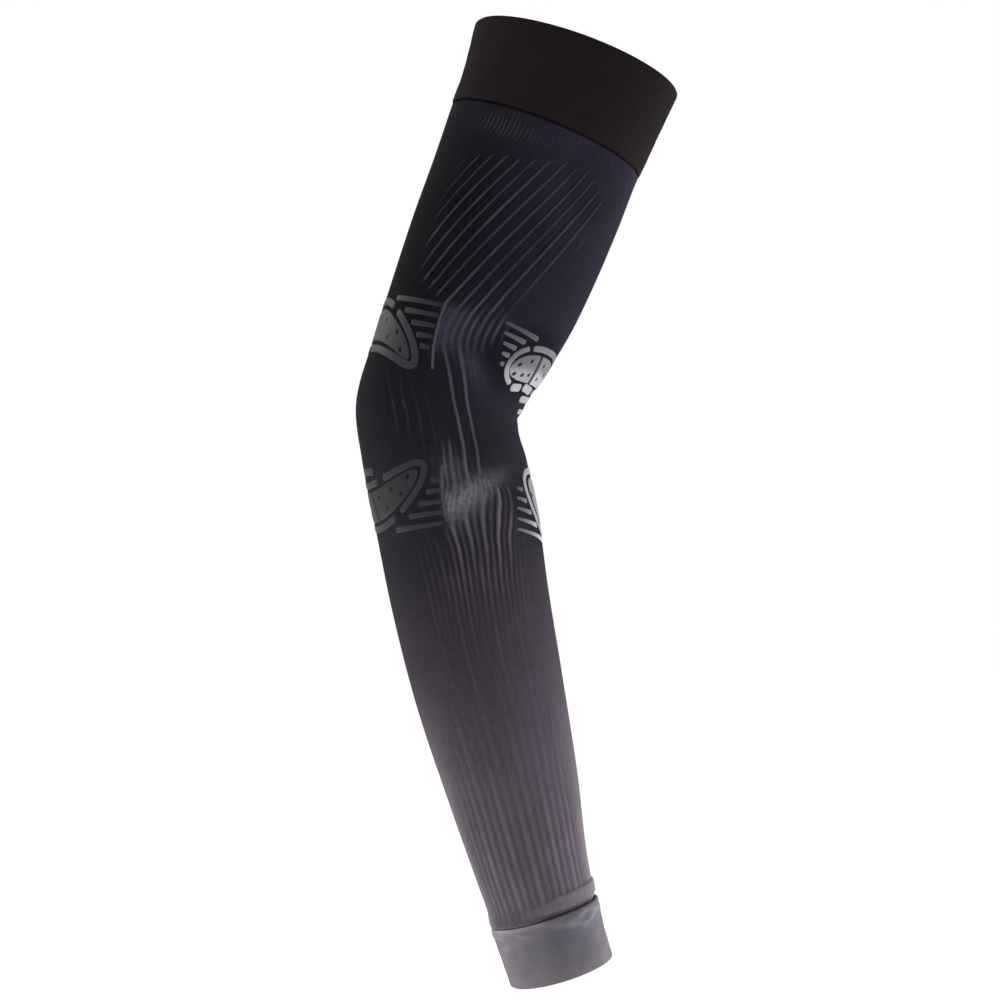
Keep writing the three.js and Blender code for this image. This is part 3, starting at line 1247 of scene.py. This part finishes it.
@dataclass(frozen=True)
class SleeveBody:
    """The knitted tube, ribbed outside and plain inside.

    The folds lie inside the elbow's bend. The pale places are one beside the outer pad's bars, one where
    the ribs of the upper arm run together and one over the streak. The fine place has thin lines of its own.
    """

    arm: ArmForm = ARM
    ribs: RibFlow = RIBS
    shades: tuple[Shade, ...] = BAR_SHADES
    wall: float = 0.0015
    gap: float = 0.0003
    rib_height: float = 0.0005
    groove_depth: float = 0.00015
    groove_run: float = 0.1
    finer_run: float = 0.11
    tuck_run: float = 0.0014
    late_tuck: float = 0.0010
    seam_rise: float = 0.0011
    seam_swell: Window = Window(-0.009, -0.0016, -0.0008, 0.0002)
    seam_rows: tuple[float, ...] = (-0.0006, -0.0003, 0.0, 0.0003, 0.0006, 0.0009, 0.0012, 0.0016)
    # Painted light along the wrist seam at the left, lifting the seam's shadow, and its run.
    seam_painted_light: float = 0.5
    seam_run: float = 0.0012
    fold: SeamFold = SeamFold()
    folds: tuple[SoftSpot, ...] = (
        SoftSpot(92, 34, 0.1745, 0.0022, -0.0008),
        SoftSpot(92, 34, 0.1695, 0.0030, 0.0003),
    )
    streak: Streak = Streak()
    light_edge: LightEdge = LightEdge()
    pale: tuple[SoftSpot, ...] = (
        SoftSpot(15, 13, 0.155, 0.0055, 0.64, climb=0.024),
        SoftSpot(4, 11, 0.138, 0.007, 0.3),
        SoftSpot(7, 9, 0.2055, 0.008, 0.3),
    )
    fine: SoftSpot = SoftSpot(-22, 20, 0.0495, 0.0048)
    plain_soften: float = 2.2
    plain_run: Range = (0.28, 0.345)
    side_run: Range = (-0.7, 0.5)
    steps: Range = (0.0019, 0.02)
    flat_width: float = 0.232
    flat_length: float = 0.385
    flat_area: float = 0.0735

    def tuck(self, angle: Array, station: Array) -> Array:
        """Depth by which the tube dips so that its ends pass under the cuffs.

        At the left of the wrist it first rises to the cuff's edge and dips a little later.

        Args:
            angle: Angles round the arm.
            station: Places along the arm.

        Returns:
            Lifts, below zero under the cuffs.
        """
        upper = 1 - smoothstep(station, UPPER_SEAM + self.gap, UPPER_SEAM + self.tuck_run)
        left = SEAM_LEFT.turned(angle)
        past = station - WRIST_SEAM
        wrist = smoothstep(past - self.late_tuck * left, -self.tuck_run, -self.gap)
        under_upper = UPPER_CUFF.proud - UPPER_CUFF.wall - self.gap
        under_wrist = WRIST_CUFF.proud - WRIST_CUFF.wall - self.gap
        rise = self.seam_rise * self.seam_swell.share(past)
        return under_upper * upper + under_wrist * wrist + rise * left

    def ridges(self, phase: Array, width: Array, strength: Array, between: Array) -> Array:
        """Heights of the ribs: a bell on each crest less one in the grooves, and finer bells half-way.

        Args:
            phase: How far off the nearest crest, in pitches.
            width: A rib's width.
            strength: Share by which the ribs stand out.
            between: Share by which the finer lines stand out.

        Returns:
            Lifts of the surface.
        """
        crest = self.rib_height * bell(phase / width, 0.0, 1.0)
        groove = self.groove_depth * bell(np.abs(phase) - 2 * width, 0.0, self.groove_run)
        finer = self.rib_height * bell(np.abs(phase), 0.5, self.finer_run)
        return (crest - groove) * strength + finer * between

    def patches(self, angle: Array, station: Array, fold: Array, outer: Array) -> Array:
        """Lighter places: the highest of the streak, the soft places, the fold, and painted light on the
        knit at the seam, which lifts the seam's shadow.

        Args:
            angle: Angles round the arm.
            station: Places along the arm.
            fold: Shares of the fold over the wrist cuff.
            outer: Which rows lie on the outer face.

        Returns:
            Shares from 0 to 1.
        """
        places = strongest((self.streak, self.light_edge, *self.pale), angle, station)
        places = np.maximum(places, self.fold.pale * fold) * outer
        # Painted light on the knit at the left of the wrist seam, lifting its shadow.
        seam = self.seam_painted_light * SEAM_LEFT.turned(angle) * bell(station, WRIST_SEAM, self.seam_run)
        return np.maximum(places, seam)

    def build(self, finish: KnitFinish) -> bpy.types.Object:
        """Build the tube.

        Args:
            finish: Its finish.

        Returns:
            The knitted tube.
        """
        seams = np.array(self.seam_rows)
        extra = np.concatenate([UPPER_SEAM + seams, WRIST_SEAM - seams, self.fold.rows])
        top = UPPER_SEAM - UPPER_CUFF.lap
        bottom = WRIST_SEAM + WRIST_CUFF.lap
        station, depth = wall_rows(top, bottom, self.wall, self.steps, extra)
        outer = depth == 0
        turn = self.ribs.turns[None, :]
        line = self.ribs.lines(turn)
        rib = np.floor(line + 0.5)
        angle = self.ribs.angle(turn, station)
        strength = self.ribs.strength(angle, station, rib)
        between = self.ribs.between(angle, station)
        width = np.broadcast_to(self.ribs.row("width", station), angle.shape)
        fold = self.fold.share(angle, station) * outer
        lift = self.tuck(angle, station) + total(self.folds, angle, station) - depth + self.fold.rise * fold
        lift = lift + self.ridges(line - rib, width, strength, between) * outer * (1 - fold)
        cover = self.ribs.cover(angle, station, self.plain_soften)
        parts = MeshParts()
        parts.add(
            self.arm.points(angle, station, lift),
            wall_uv(self.ribs.columns, self.ribs.count, station, self.arm.length),
            wrap_rows=True,
            rib_strength=strength * (1 - fold),
            between=between * outer,
            rib_width=width,
            # Share of the right ground, which holds painted light from the right.
            side=smoothstep(np.sin(angle), *self.side_run),
            patch=self.patches(angle, station, fold, outer),
            fine=self.fine.share(angle, station) * outer,
            plain=(1 - cover) * smoothstep(station, *self.plain_run) * outer,
            # Painted shade from the ovals above.
            dark=strongest(self.shades, angle, station) * outer,
        )
        piece = parts.build("knit_tube", finish.material())
        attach(piece, "root")
        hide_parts("sleeve_body")
        return piece


@dataclass(frozen=True)
class Cuff:
    """A plain folded band round one end of the sleeve.

    The waves make it slightly uneven. The cool place's station and run are shares of the band's height.
    Its crease values paint highlight on the creases, and the rim's painted light lifts the seam's shadow at
    the left of the wrist cuff's top.
    """

    name: str
    node: str
    slot: Slot
    size: CuffSize
    top: float
    bottom: float
    flat: Range
    ripple: float
    creases: tuple[SoftSpot, ...] = ()
    # Painted light along the top rim at the left, lifting the seam's shadow, and its run.
    rim_painted_light: float = 0.0
    rim_run: float = 0.0017
    waves: tuple[Wave, ...] = (
        Wave(1.0, 3, 60), Wave(0.6, 7, -190, 1.0), Wave(0.4, 13, 330, 2.0), Wave(0.3, 2, 700)
    )
    cool: SoftSpot = SoftSpot(26, 60, 0.34, 0.45)
    arm: ArmForm = ARM
    columns: int = 240
    steps: Range = (0.0011, 0.004)
    stitch: float = 0.00085
    crease_full: float = 0.0011

    def build(self, finish: CuffFinish) -> bpy.types.Object:
        """Build the band.

        Args:
            finish: Its finish.

        Returns:
            The cuff.
        """
        wall = self.size.wall
        station, depth = wall_rows(self.top, self.bottom, wall, self.steps)
        turn = np.linspace(-math.pi, math.pi, self.columns, endpoint=False)[None, :]
        creased = total(self.creases, turn, station)
        waves = self.ripple * sum(wave.at(turn, station) for wave in self.waves)
        lift = self.size.proud - depth + (1 - depth / wall) * (waves + creased)
        wales = round(2 * math.pi * self.arm.radius((self.top + self.bottom) / 2) / self.stitch)
        # Painted light on the rim at the left of the wrist cuff's top.
        rim = self.rim_painted_light * SEAM_LEFT.turned(turn) * bell(station, self.top, self.rim_run)
        parts = MeshParts()
        parts.add(
            self.arm.points(turn, station, lift),
            wall_uv(self.columns, wales, station, self.stitch),
            wrap_rows=True,
            warm=1 - self.cool.share(turn, (station - self.top) / self.size.height),
            # Painted highlight: the crease heights as shares, plus the rim's painted light.
            crease=creased / self.crease_full + rim,
        )
        piece = parts.build(self.name, finish.material())
        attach(piece, "root")
        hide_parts(self.node)
        return piece


# Wrist cuff creases: each raises a ridge and paints a highlight on it.
WRIST_CREASES = (
    SoftSpot(22, 16.043, 0.4140, 0.0012, 0.0008, climb=0.006),
    SoftSpot(50, 12.605, 0.4155, 0.0011, 0.0008, climb=-0.008),
    SoftSpot(70, 14.324, 0.4130, 0.0010, 0.0008, climb=0.004),
    SoftSpot(-66, 17.189, 0.4128, 0.0012, 0.0009, climb=0.003),
    SoftSpot(-50, 14.324, 0.4175, 0.0014, 0.0006, climb=-0.006),
    SoftSpot(-28, 11.459, 0.4135, 0.0011, 0.0007, climb=0.007),
    SoftSpot(38, 10.313, 0.4122, 0.0010, 0.0006, climb=-0.004),
)


@dataclass(frozen=True)
class Band:
    """A raised strip laid on the sleeve along a line, with rounded edges."""

    width: float
    height: float
    sink: float = 0.0002
    profile_steps: int = 14
    end_share: float = 0.2
    end_round: float = 0.7
    bluntness: float = 0.6
    arm: ArmForm = ARM

    def grid(self, angle: Array, station: Array, taper: float = 0.0) -> Array:
        """Sweep the strip's rounded section along a line on the arm.

        The section is a flattened oval, half as wide as the strip, whose upper half rises to the strip's
        height and whose lower half is sunk in the knit. Near the line's ends it shrinks as a half-circle
        does.

        Args:
            angle: The line's angles round the arm.
            station: The line's places along the arm.
            taper: Share of its width that it loses on the way to the line's end.

        Returns:
            Points by step along the line, step round the section and axis.
        """
        line = self.arm.points(angle, station, 0.0)
        out = self.arm.normals(angle, station)
        side = np.cross(out, np.gradient(line, axis=0))
        side /= np.linalg.norm(side, axis=-1, keepdims=True)
        length = np.concatenate([[0.0], np.cumsum(np.linalg.norm(np.diff(line, axis=0), axis=-1))])
        reach = np.minimum(length, length[-1] - length) / (self.end_round * self.width / 2)
        size = np.sqrt(1 - (1 - np.clip(reach, 0.0, 1.0)) ** 2)
        size = np.maximum(size, self.end_share) * (1 - taper * length / length[-1])
        swing = np.linspace(0.0, 2 * math.pi, self.profile_steps, endpoint=False)
        across = np.sign(np.cos(swing)) * np.abs(np.cos(swing)) ** self.bluntness * self.width / 2
        rise = np.sign(np.sin(swing)) * np.abs(np.sin(swing)) ** self.bluntness
        rise = np.where(rise > 0, rise * self.height, rise * self.sink)
        offset = (size[:, None] * across)[..., None] * side[:, None, :]
        return line[:, None, :] + offset + (np.sqrt(size)[:, None] * rise)[..., None] * out[:, None, :]


@dataclass(frozen=True)
class BarStack:
    """Bars beside a pad, between a line along the arm and the pad's own edge.

    The edge is the line's angle in degrees at the first bar, and the lean is how far it turns for each
    metre. The slope is how far a bar climbs for each radian, and the limit is the longest bar in degrees.
    The tones are each bar's brightness at the line and at the pad, the last pair for all the bars after it,
    and the curve is the power of the way along a bar by which its tone changes. The tones are painted light
    and shade along the bars.
    """

    first: float
    pitch: float
    count: int
    edge: float
    lower: bool
    lean: float = 0.0
    slope: float = 0.0
    limit: float = 60.0
    tones: tuple[Range, ...] = ((0.8, 0.8),)
    curve: float = 1.0


@dataclass(frozen=True)
class Strip:
    """A single strip beside a pad: the degrees and stations it runs through, its width and its tone, which
    is painted light.
    """

    path: tuple[Range, ...]
    width: float
    tone: float


@dataclass(frozen=True)
class GripPad:
    """A raised print by the elbow: a dotted plate, a rim round it and stacks of bars beside it.

    The outline is a bent oval: it runs from tip to tip round the arm, and its middle line bends along the
    arm as the square of the share of the way to a tip. Its fullness is the power of that share by which
    it narrows: 2 for a true oval, more for a blunt one, less for a pointed one. The lower painted light is
    how much brighter painted light makes it in its lower half, the plate's painted light fade how much
    brighter towards its tip, and the painted light past the split how much brighter past its split. These
    and the tones are painted light and shade that stand in for how the light falls on the print.
    """

    node: str
    angle: float
    span: float
    station: float
    height: float
    bend: float
    rim: Band
    bars: tuple[BarStack, ...]
    notches: tuple[float, ...]
    fullness: float = 2.0
    strips: tuple[Strip, ...] = ()
    rim_widths: tuple[float, ...] = ()
    split: float | None = None
    split_lean: float = 0.05
    bar: Band = Band(0.0019, 0.0003)
    groove: float = 0.0015
    bar_gap: float = 0.0008
    bar_taper: float = -0.45
    bar_tries: int = 4
    tip_inset: float = 1.0
    plate_shift: float = 0.0
    plate_bend: float = 0.0
    plate_fullness: float | None = None
    # Painted light over the plate: brighter towards the tip, past the split and in the lower half.
    plate_painted_light_fade: float = 0.0
    painted_light_past_split: float = 0.0
    lower_painted_light: float = 0.0
    plate_rise: float = 0.00035
    plate_sink: float = 0.0002
    # Painted light and shade over the whole plate and over the rim.
    plate_tone: float = 1.0
    rim_tone: float = 1.0
    dots: tuple[Range, ...] = ()
    dot_radius: float = 0.0011
    dot_depth: float = 0.0002
    dot_pitch: float = 0.0058
    dot_shift: float = 0.0
    dot_offset: float = 0.45
    notch_width: float = 6.0
    split_width: float = 0.0015
    split_blur: float = 0.03
    split_edge: Range = (0.5, 1.1)
    dot_edge: Range = (0.8, 1.15)
    dot_room: float = 1.6
    bend_kept: float = 0.6
    painted_light_run: Range = (-0.25, 0.5)
    dome_power: int = 8
    tip_cut: float = 0.06
    shortest_bar: float = 0.6
    plate_steps: int = 220
    edge_steps: int = 80
    under_steps: int = 8
    rim_steps: int = 90
    bound_steps: int = 200
    bar_steps: int = 60
    strip_steps: int = 80
    arm: ArmForm = ARM

    def profile(self, share: Array, fullness: float | None = None) -> Array:
        """Share of the full height on the way to a tip: the root of one less its power of the fullness."""
        return np.sqrt(np.clip(1 - np.abs(share) ** (fullness or self.fullness), 0.0, 1.0))

    def painted_light_factor(self, share: Array) -> Array:
        """Painted light: what a tone is multiplied by on the way from the upper edge to the lower one."""
        return 1 + self.lower_painted_light * smoothstep(share, *self.painted_light_run)

    def inset(self, amount: float) -> tuple[float, float, float]:
        """Half the span, half the height and the bend of the outline drawn in by some amount.

        Args:
            amount: How far the outline is drawn in.

        Returns:
            Half the span as an angle, half the height, and the bend.
        """
        radius = self.arm.radius(self.station)
        share = 1 - amount / (self.height / 2)
        bend = self.bend * (self.bend_kept + (1 - self.bend_kept) * share)
        return math.radians(self.span) - self.tip_inset * amount / radius, self.height / 2 - amount, bend

    def dot_places(self, span: float, half: float, bend: float) -> list[Range]:
        """Middles of the plate's dots: those that are given, or else a staggered row.

        Args:
            span: Half the plate's span as an angle.
            half: Half its height.
            bend: Its bend.

        Returns:
            For each dot, how far it lies round the arm and along the arm from the plate's middle line.
        """
        radius = self.arm.radius(self.station)
        places = []
        for degrees, station in self.dots:
            around = math.radians(degrees - self.angle)
            middle = self.station + self.plate_shift + bend * (around / span) ** 2
            places.append((around * radius, station - middle))
        count = 0 if self.dots else int(span * radius / self.dot_pitch)
        for step in range(-count, count + 1 if count else 0):
            middle = step * self.dot_pitch + self.dot_shift
            room = half * float(self.profile(np.array(middle / (span * radius))))
            offset = self.dot_offset * room * (1 if step % 2 else -1)
            if room - abs(offset) > self.dot_room * self.dot_radius:
                places.append((middle, offset))
        return places

    def add_plate(self, parts: MeshParts) -> None:
        """Add the plate: a thin bent oval, domed at its edge, with sunk dots.

        Args:
            parts: Where its grid goes.
        """
        span, half, bend = self.inset(self.rim.width + self.groove)
        bend += self.plate_bend
        swing = np.linspace(self.tip_cut, math.pi - self.tip_cut, self.plate_steps)[:, None]
        share = -np.cos(swing)
        reach = self.profile(share, self.plate_fullness) * half
        edge = np.linspace(0.0, math.pi, self.edge_steps)
        under = np.linspace(-1.0, 1.0, self.under_steps)[1:-1]
        along = np.concatenate([np.cos(edge), under])[None, :]
        top = (np.arange(along.shape[1]) < len(edge))[None, :]
        dome = self.plate_rise * np.sqrt(np.clip(1 - along**self.dome_power, 0.0, 1.0))
        angle = math.radians(self.angle) + span * share
        station = self.station + self.plate_shift + bend * share * share + along * reach
        radius = self.arm.radius(self.station)
        dot = np.zeros(np.broadcast_shapes(share.shape, along.shape))
        for middle, offset in self.dot_places(span, half, bend):
            far = np.hypot(share * span * radius - middle, along * reach - offset)
            dot = np.maximum(dot, 1 - smoothstep(far / self.dot_radius, *self.dot_edge))
        # Painted light: the plate's tone rises in its lower half, towards its tip and past its split.
        tone = self.plate_tone * self.painted_light_factor(along * reach / half) * (1 + self.plate_painted_light_fade * share)
        if self.split is not None:
            past = share - self.split - self.split_lean * along
            far = np.abs(past) * span * radius
            dot = np.maximum(dot, 1 - smoothstep(far / self.split_width, *self.split_edge))
            tone = tone * (1 + self.painted_light_past_split * smoothstep(past, -self.split_blur, self.split_blur))
        lift = np.where(top, dome - self.dot_depth * dot, -self.plate_sink)
        parts.add(self.arm.points(angle, station, lift), caps=True, dot=dot * top, tone=tone)

    def add_rim(self, parts: MeshParts) -> None:
        """Add the rim: strips along the outline, parted by small notches, with none where the width is 0.

        Args:
            parts: Where their grids go.
        """
        gap = math.radians(self.notch_width) / 2
        marks = [math.radians(mark) for mark in self.notches]
        ends = marks[1:] + [marks[0] + 2 * math.pi]
        widths = self.rim_widths or (self.rim.width,) * len(marks)
        for start, end, width in zip(marks, ends, widths):
            if width <= 0:
                continue
            span, half, bend = self.inset(width / 2)
            swing = np.linspace(start + gap, end - gap, self.rim_steps)
            share = np.cos(swing)
            angle = math.radians(self.angle) + span * share
            rise = half * np.sign(np.sin(swing)) * self.profile(share)
            station = self.station + bend * share * share + rise
            # Painted light: the rim's tone rises towards its lower half.
            tone = self.rim_tone * self.painted_light_factor(rise / half)[:, None]
            grid = replace(self.rim, width=width).grid(angle, station)
            parts.add(grid, caps=True, dot=np.zeros(1), tone=tone)

    def add_bars(self, parts: MeshParts) -> None:
        """Add the bars: each runs from the stack's line to the pad's rim.

        Args:
            parts: Where their grids go.
        """
        span, half, bend = self.inset(-self.bar_gap - self.bar.width / 2)
        share = np.linspace(1.0, 0.0, self.bound_steps)
        for stack in self.bars:
            side = math.copysign(1.0, stack.edge - self.angle)
            down = 1.0 if stack.lower else -1.0
            bound = down * (self.station + bend * share * share) + half * self.profile(share)
            for number, station in enumerate(stack.first + stack.pitch * np.arange(stack.count)):
                line_end = math.radians(stack.edge + stack.lean * (station - stack.first))
                length = 0.0
                for _ in range(self.bar_tries):
                    far = station - side * stack.slope * length
                    reach = float(np.interp(down * far, bound, share))
                    pad_end = math.radians(self.angle) + side * span * reach
                    length = min(side * (line_end - pad_end), math.radians(stack.limit))
                if length < self.shortest_bar * self.bar.width / self.arm.radius(station):
                    continue
                angle = np.linspace(line_end, line_end - side * length, self.bar_steps)
                climb = station + stack.slope * (angle - line_end)
                grid = self.bar.grid(angle, climb, self.bar_taper)
                # Painted light and shade along the bar, from the line to the pad.
                near, end = stack.tones[min(number, len(stack.tones) - 1)]
                tone = near + (end - near) * np.linspace(0.0, 1.0, len(angle))[:, None] ** stack.curve
                parts.add(grid, caps=True, dot=np.zeros(1), tone=tone)

    def add_strips(self, parts: MeshParts) -> None:
        """Add the single strips: each follows its own path in straight steps.

        Args:
            parts: Where their grids go.
        """
        for strip in self.strips:
            degrees, stations = np.array(strip.path).T
            at = np.linspace(0, len(degrees) - 1, self.strip_steps)
            angle = np.radians(np.interp(at, np.arange(len(degrees)), degrees))
            station = np.interp(at, np.arange(len(degrees)), stations)
            grid = replace(self.bar, width=strip.width).grid(angle, station)
            # The strip's tone is painted light.
            parts.add(grid, caps=True, dot=np.zeros(1), tone=np.array(strip.tone))

    def build(self, material: bpy.types.Material) -> bpy.types.Object:
        """Build the pad.

        Args:
            material: The print's material.

        Returns:
            The pad with its rim and bars.
        """
        parts = MeshParts()
        self.add_plate(parts)
        self.add_rim(parts)
        self.add_bars(parts)
        self.add_strips(parts)
        piece = parts.build(f"{self.node}_print", material)
        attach(piece, "root")
        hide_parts(self.node)
        return piece


# The tones below are painted light and shade: dim on the outer pads, bright towards the inner pads' right
# and lower edges.
OUTER_PADS = (
    GripPad(
        "outer_pad_upper", -73, 53, 0.1432, 0.0236, 0.0160, Band(0.0036, 0.0003),
        (BarStack(0.1318, 0.0047, 5, -19.8, lower=False, lean=160, tones=((0.6, 0.9),)),),
        (96, 292), fullness=1.6, tip_inset=1.1, plate_tone=0.72, plate_painted_light_fade=0.3, rim_tone=0.9,
        dot_shift=0.0031, dot_offset=-0.45,
        strips=(Strip(
            (
                (-17.4, 0.1308), (-17.6, 0.1375), (-16.9, 0.1420), (-14.9, 0.1495), (-12.8, 0.1535),
                (-8.9, 0.1600),
            ),
            0.0013, 1.6,
        ),),
    ),
    GripPad(
        "outer_pad_lower", -73, 62, 0.2187, 0.0217, -0.0165, Band(0.0031, 0.0003),
        (BarStack(0.2090, 0.0048, 5, -4.5, True, -190, slope=-0.0016, limit=40.5, tones=((0.85, 0.88),)),),
        (57, 291), fullness=3.0, tip_inset=1.1, groove=0.0014, split=0.13, plate_tone=0.56, plate_painted_light_fade=0.3,
        rim_tone=0.78, dot_pitch=0.0053, bar_gap=0.0022,
        strips=(
            Strip(((-58.5, 0.2040), (-80.0, 0.2036)), 0.0034, 0.7),
            Strip(
                ((-1.1, 0.2025), (-3.0, 0.2095), (-5.0, 0.2160), (-5.6, 0.2215), (-5.2, 0.2280)),
                0.0016, 1.6,
            ),
        ),
    ),
)
INNER_PADS = (
    GripPad(
        "inner_pad_upper", 66, 30.5, 0.1495, 0.0262, 0.0, Band(0.0027, 0.0003),
        (BarStack(
            0.1315, 0.0048, 5, 20.5, False, 490, slope=0.006, limit=29.5,
            tones=((0.20, 0.30), (0.30, 0.36), (0.36, 0.42), (0.48, 0.50), (0.44, 0.46)),
        ),),
        (62, 128, 230), fullness=2.7, tip_inset=0.42, rim_widths=(0.0, 0.0026, 0.0030),
        groove=0.0028, plate_shift=-0.0006, plate_bend=0.002, plate_fullness=3.5, split=-0.13,
        split_lean=0.07, bar=Band(0.0016, 0.0003), bar_taper=-0.6, bar_gap=0.0030, lower_painted_light=1.4, plate_tone=0.36,
        plate_painted_light_fade=-0.25, rim_tone=0.5, painted_light_past_split=0.6,
        dots=(
            (44.2, 0.1490), (52.8, 0.1455), (44.2, 0.1540), (51.5, 0.1535), (57.7, 0.1525), (69.0, 0.1455),
            (70.8, 0.1530), (78.5, 0.1495),
        ),
        strips=(
            Strip(((49.0, 0.1609), (59.0, 0.1597)), 0.0040, 1.15),
            Strip(((61.0, 0.1588), (77.0, 0.1598)), 0.0040, 1.15),
            Strip(((66.5, 0.1650), (95.0, 0.1636)), 0.0034, 1.1),
            Strip(((73.5, 0.1715), (98.0, 0.1695)), 0.0028, 1.1),
        ),
    ),
    GripPad(
        "inner_pad_lower", 98, 36, 0.2212, 0.0370, -0.0089, Band(0.0030, 0.0003),
        (BarStack(
            0.2135, 0.0050, 5, 51.8, True, -350, slope=0.009, curve=1.7,
            tones=((0.20, 0.40), (0.25, 0.60), (0.30, 0.62), (0.28, 1.35), (0.30, 2.0)),
        ),),
        (80, 260), bar=Band(0.0013, 0.0003), bar_taper=-0.85, bar_gap=0.0016, groove=0.0025, plate_tone=0.8,
    ),
)


SLEEVE_MIDDLE = (-0.0356, 0.0, -0.2039)


@dataclass(frozen=True)
class SoftBox:
    """A square soft light that looks at one point."""

    name: str
    place: Point
    size: float
    power: float
    aim: Point = SLEEVE_MIDDLE


@dataclass(frozen=True)
class Studio:
    """Pale floor, soft light and the camera at the photo's viewing angle."""

    aim: Point = SLEEVE_MIDDLE
    camera_place: Point = (-0.0356, -0.937, -0.2388)
    lens: float = 73.37
    floor_height: float = -0.56
    floor_size: float = 12.0
    floor_colour: Colour = (0.9, 0.9, 0.9)
    floor_roughness: float = 0.9
    floor_specular: float = 0.1
    floor_glow: float = 0.15
    sensor: float = 36.0
    sky: float = 1.0
    lights: tuple[SoftBox, ...] = (
        SoftBox("right_back_light", (0.95, 0.45, -0.2), 0.9, 5.0),
        SoftBox("left_high_light", (-0.60, 0.30, 0.20), 0.4, 2.0, (-0.02, 0.0, -0.02)),
        SoftBox("right_low_light", (0.36, 0.12, -0.50), 0.3, 3.0, (-0.02, 0.0, -0.36)),
        SoftBox("left_low_light", (-0.42, 0.10, -0.50), 0.3, 2.2, (-0.03, 0.0, -0.36)),
    )

    def build(self) -> None:
        """Build the floor, the sky, the lights and the camera."""
        self.build_floor()
        self.build_sky()
        for light in self.lights:
            self.build_light(light)
        self.build_camera()
        bpy.context.scene.view_settings.view_transform = "Standard"

    def build_floor(self) -> None:
        """Lay a plain pale floor under the sleeve."""
        half = self.floor_size / 2
        corners = [(-half, -half), (half, -half), (half, half), (-half, half)]
        mesh = bpy.data.meshes.new("floor")
        mesh.from_pydata([(x, y, self.floor_height) for x, y in corners], [], [(0, 1, 2, 3)])
        graph = Graph("floor_white")
        settings = {
            "Roughness": self.floor_roughness,
            "Specular IOR Level": self.floor_specular,
            "Emission Strength": self.floor_glow,
            "Emission Color": (1.0, 1.0, 1.0, 1.0),
        }
        graph.finish(self.floor_colour, settings, ())
        mesh.materials.append(graph.material)
        floor = bpy.data.objects.new("floor", mesh)
        bpy.context.scene.collection.objects.link(floor)

    def build_sky(self) -> None:
        """Light everything evenly from a white sky."""
        world = bpy.data.worlds.new("white_sky")
        world.use_nodes = True
        background = world.node_tree.nodes["Background"]
        background.inputs["Color"].default_value = (1.0, 1.0, 1.0, 1.0)
        background.inputs["Strength"].default_value = self.sky
        bpy.context.scene.world = world

    def build_light(self, light: SoftBox) -> None:
        """Hang one soft light.

        Args:
            light: The light.
        """
        data = bpy.data.lights.new(light.name, "AREA")
        data.shape = "SQUARE"
        data.size = light.size
        data.energy = light.power
        lamp = bpy.data.objects.new(light.name, data)
        lamp.location = light.place
        lamp.rotation_euler = self.facing(light.place, light.aim)
        lamp.visible_camera = False
        bpy.context.scene.collection.objects.link(lamp)

    def build_camera(self) -> None:
        """Set the camera at the photo's viewing angle."""
        data = bpy.data.cameras.new("camera")
        data.sensor_fit = "HORIZONTAL"
        data.sensor_width = self.sensor
        data.lens = self.lens
        camera = bpy.data.objects.new("camera", data)
        camera.location = self.camera_place
        camera.rotation_euler = self.facing(self.camera_place, self.aim)
        bpy.context.scene.collection.objects.link(camera)
        bpy.context.scene.camera = camera

    @staticmethod
    def facing(place: Point, aim: Point) -> Point:
        """Turns about X, Y and Z that look from one place to another."""
        turn = (Vector(aim) - Vector(place)).to_track_quat("-Z", "Y").to_euler()
        return (turn.x, turn.y, turn.z)


def log_fit(piece: bpy.types.Object, node: str) -> None:
    """Log a piece's triangles and how far its box lies from its node's box.

    Args:
        piece: The piece.
        node: The CAD node it replaces.
    """
    flat = np.empty(3 * len(piece.data.vertices), dtype=np.float32)
    piece.data.vertices.foreach_get("co", flat)
    points = flat.reshape(-1, 3)
    box = np.array([points.min(axis=0), points.max(axis=0)])
    apart = 1000 * (box - np.array(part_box(node)))
    triangles = sum(len(face.vertices) - 2 for face in piece.data.polygons)
    log.info("%s: %d triangles, box off %s by %s mm", piece.name, triangles, node, apart.round(1).tolist())


def main() -> None:
    """Build every piece, then the studio."""
    logging.basicConfig(level=logging.INFO, format="%(message)s")
    upper = Cuff(
        "upper_band", "upper_cuff", Slot.UPPER_CUFF, UPPER_CUFF, 0.0, UPPER_SEAM, (0.262, 0.040), 0.00012
    )
    wrist = Cuff(
        "wrist_band", "wrist_cuff", Slot.WRIST_CUFF, WRIST_CUFF, WRIST_SEAM, ARM.length, (0.138, 0.028),
        0.0001, WRIST_CREASES, rim_painted_light=1.2,
    )
    log_fit(SleeveBody().build(KnitFinish()), "sleeve_body")
    # Each cuff finish's third colour is the painted highlight on its creases and rim.
    black = CuffFinish("upper_cuff_knit", srgb(26, 22, 24), srgb(28, 23, 24), srgb(33, 28, 30))
    grey = CuffFinish("wrist_cuff_knit", srgb(84, 83, 91), srgb(102, 96, 101), srgb(130, 127, 135))
    log_fit(upper.build(black), upper.node)
    log_fit(wrist.build(grey), wrist.node)
    # The pads are one silver-grey print: the outer pads' darker copy is painted shade, and the inner pads'
    # paler copy is painted light.
    print_in_painted_shade = PrintFinish("pad_print_painted_shade", srgb(50, 49, 53)).material()
    print_in_painted_light = PrintFinish("pad_print_painted_light", srgb(128, 126, 132)).material()
    for pads, material in ((OUTER_PADS, print_in_painted_shade), (INNER_PADS, print_in_painted_light)):
        for pad in pads:
            log_fit(pad.build(material), pad.node)
    Studio().build()


if __name__ == "__main__":
    main()
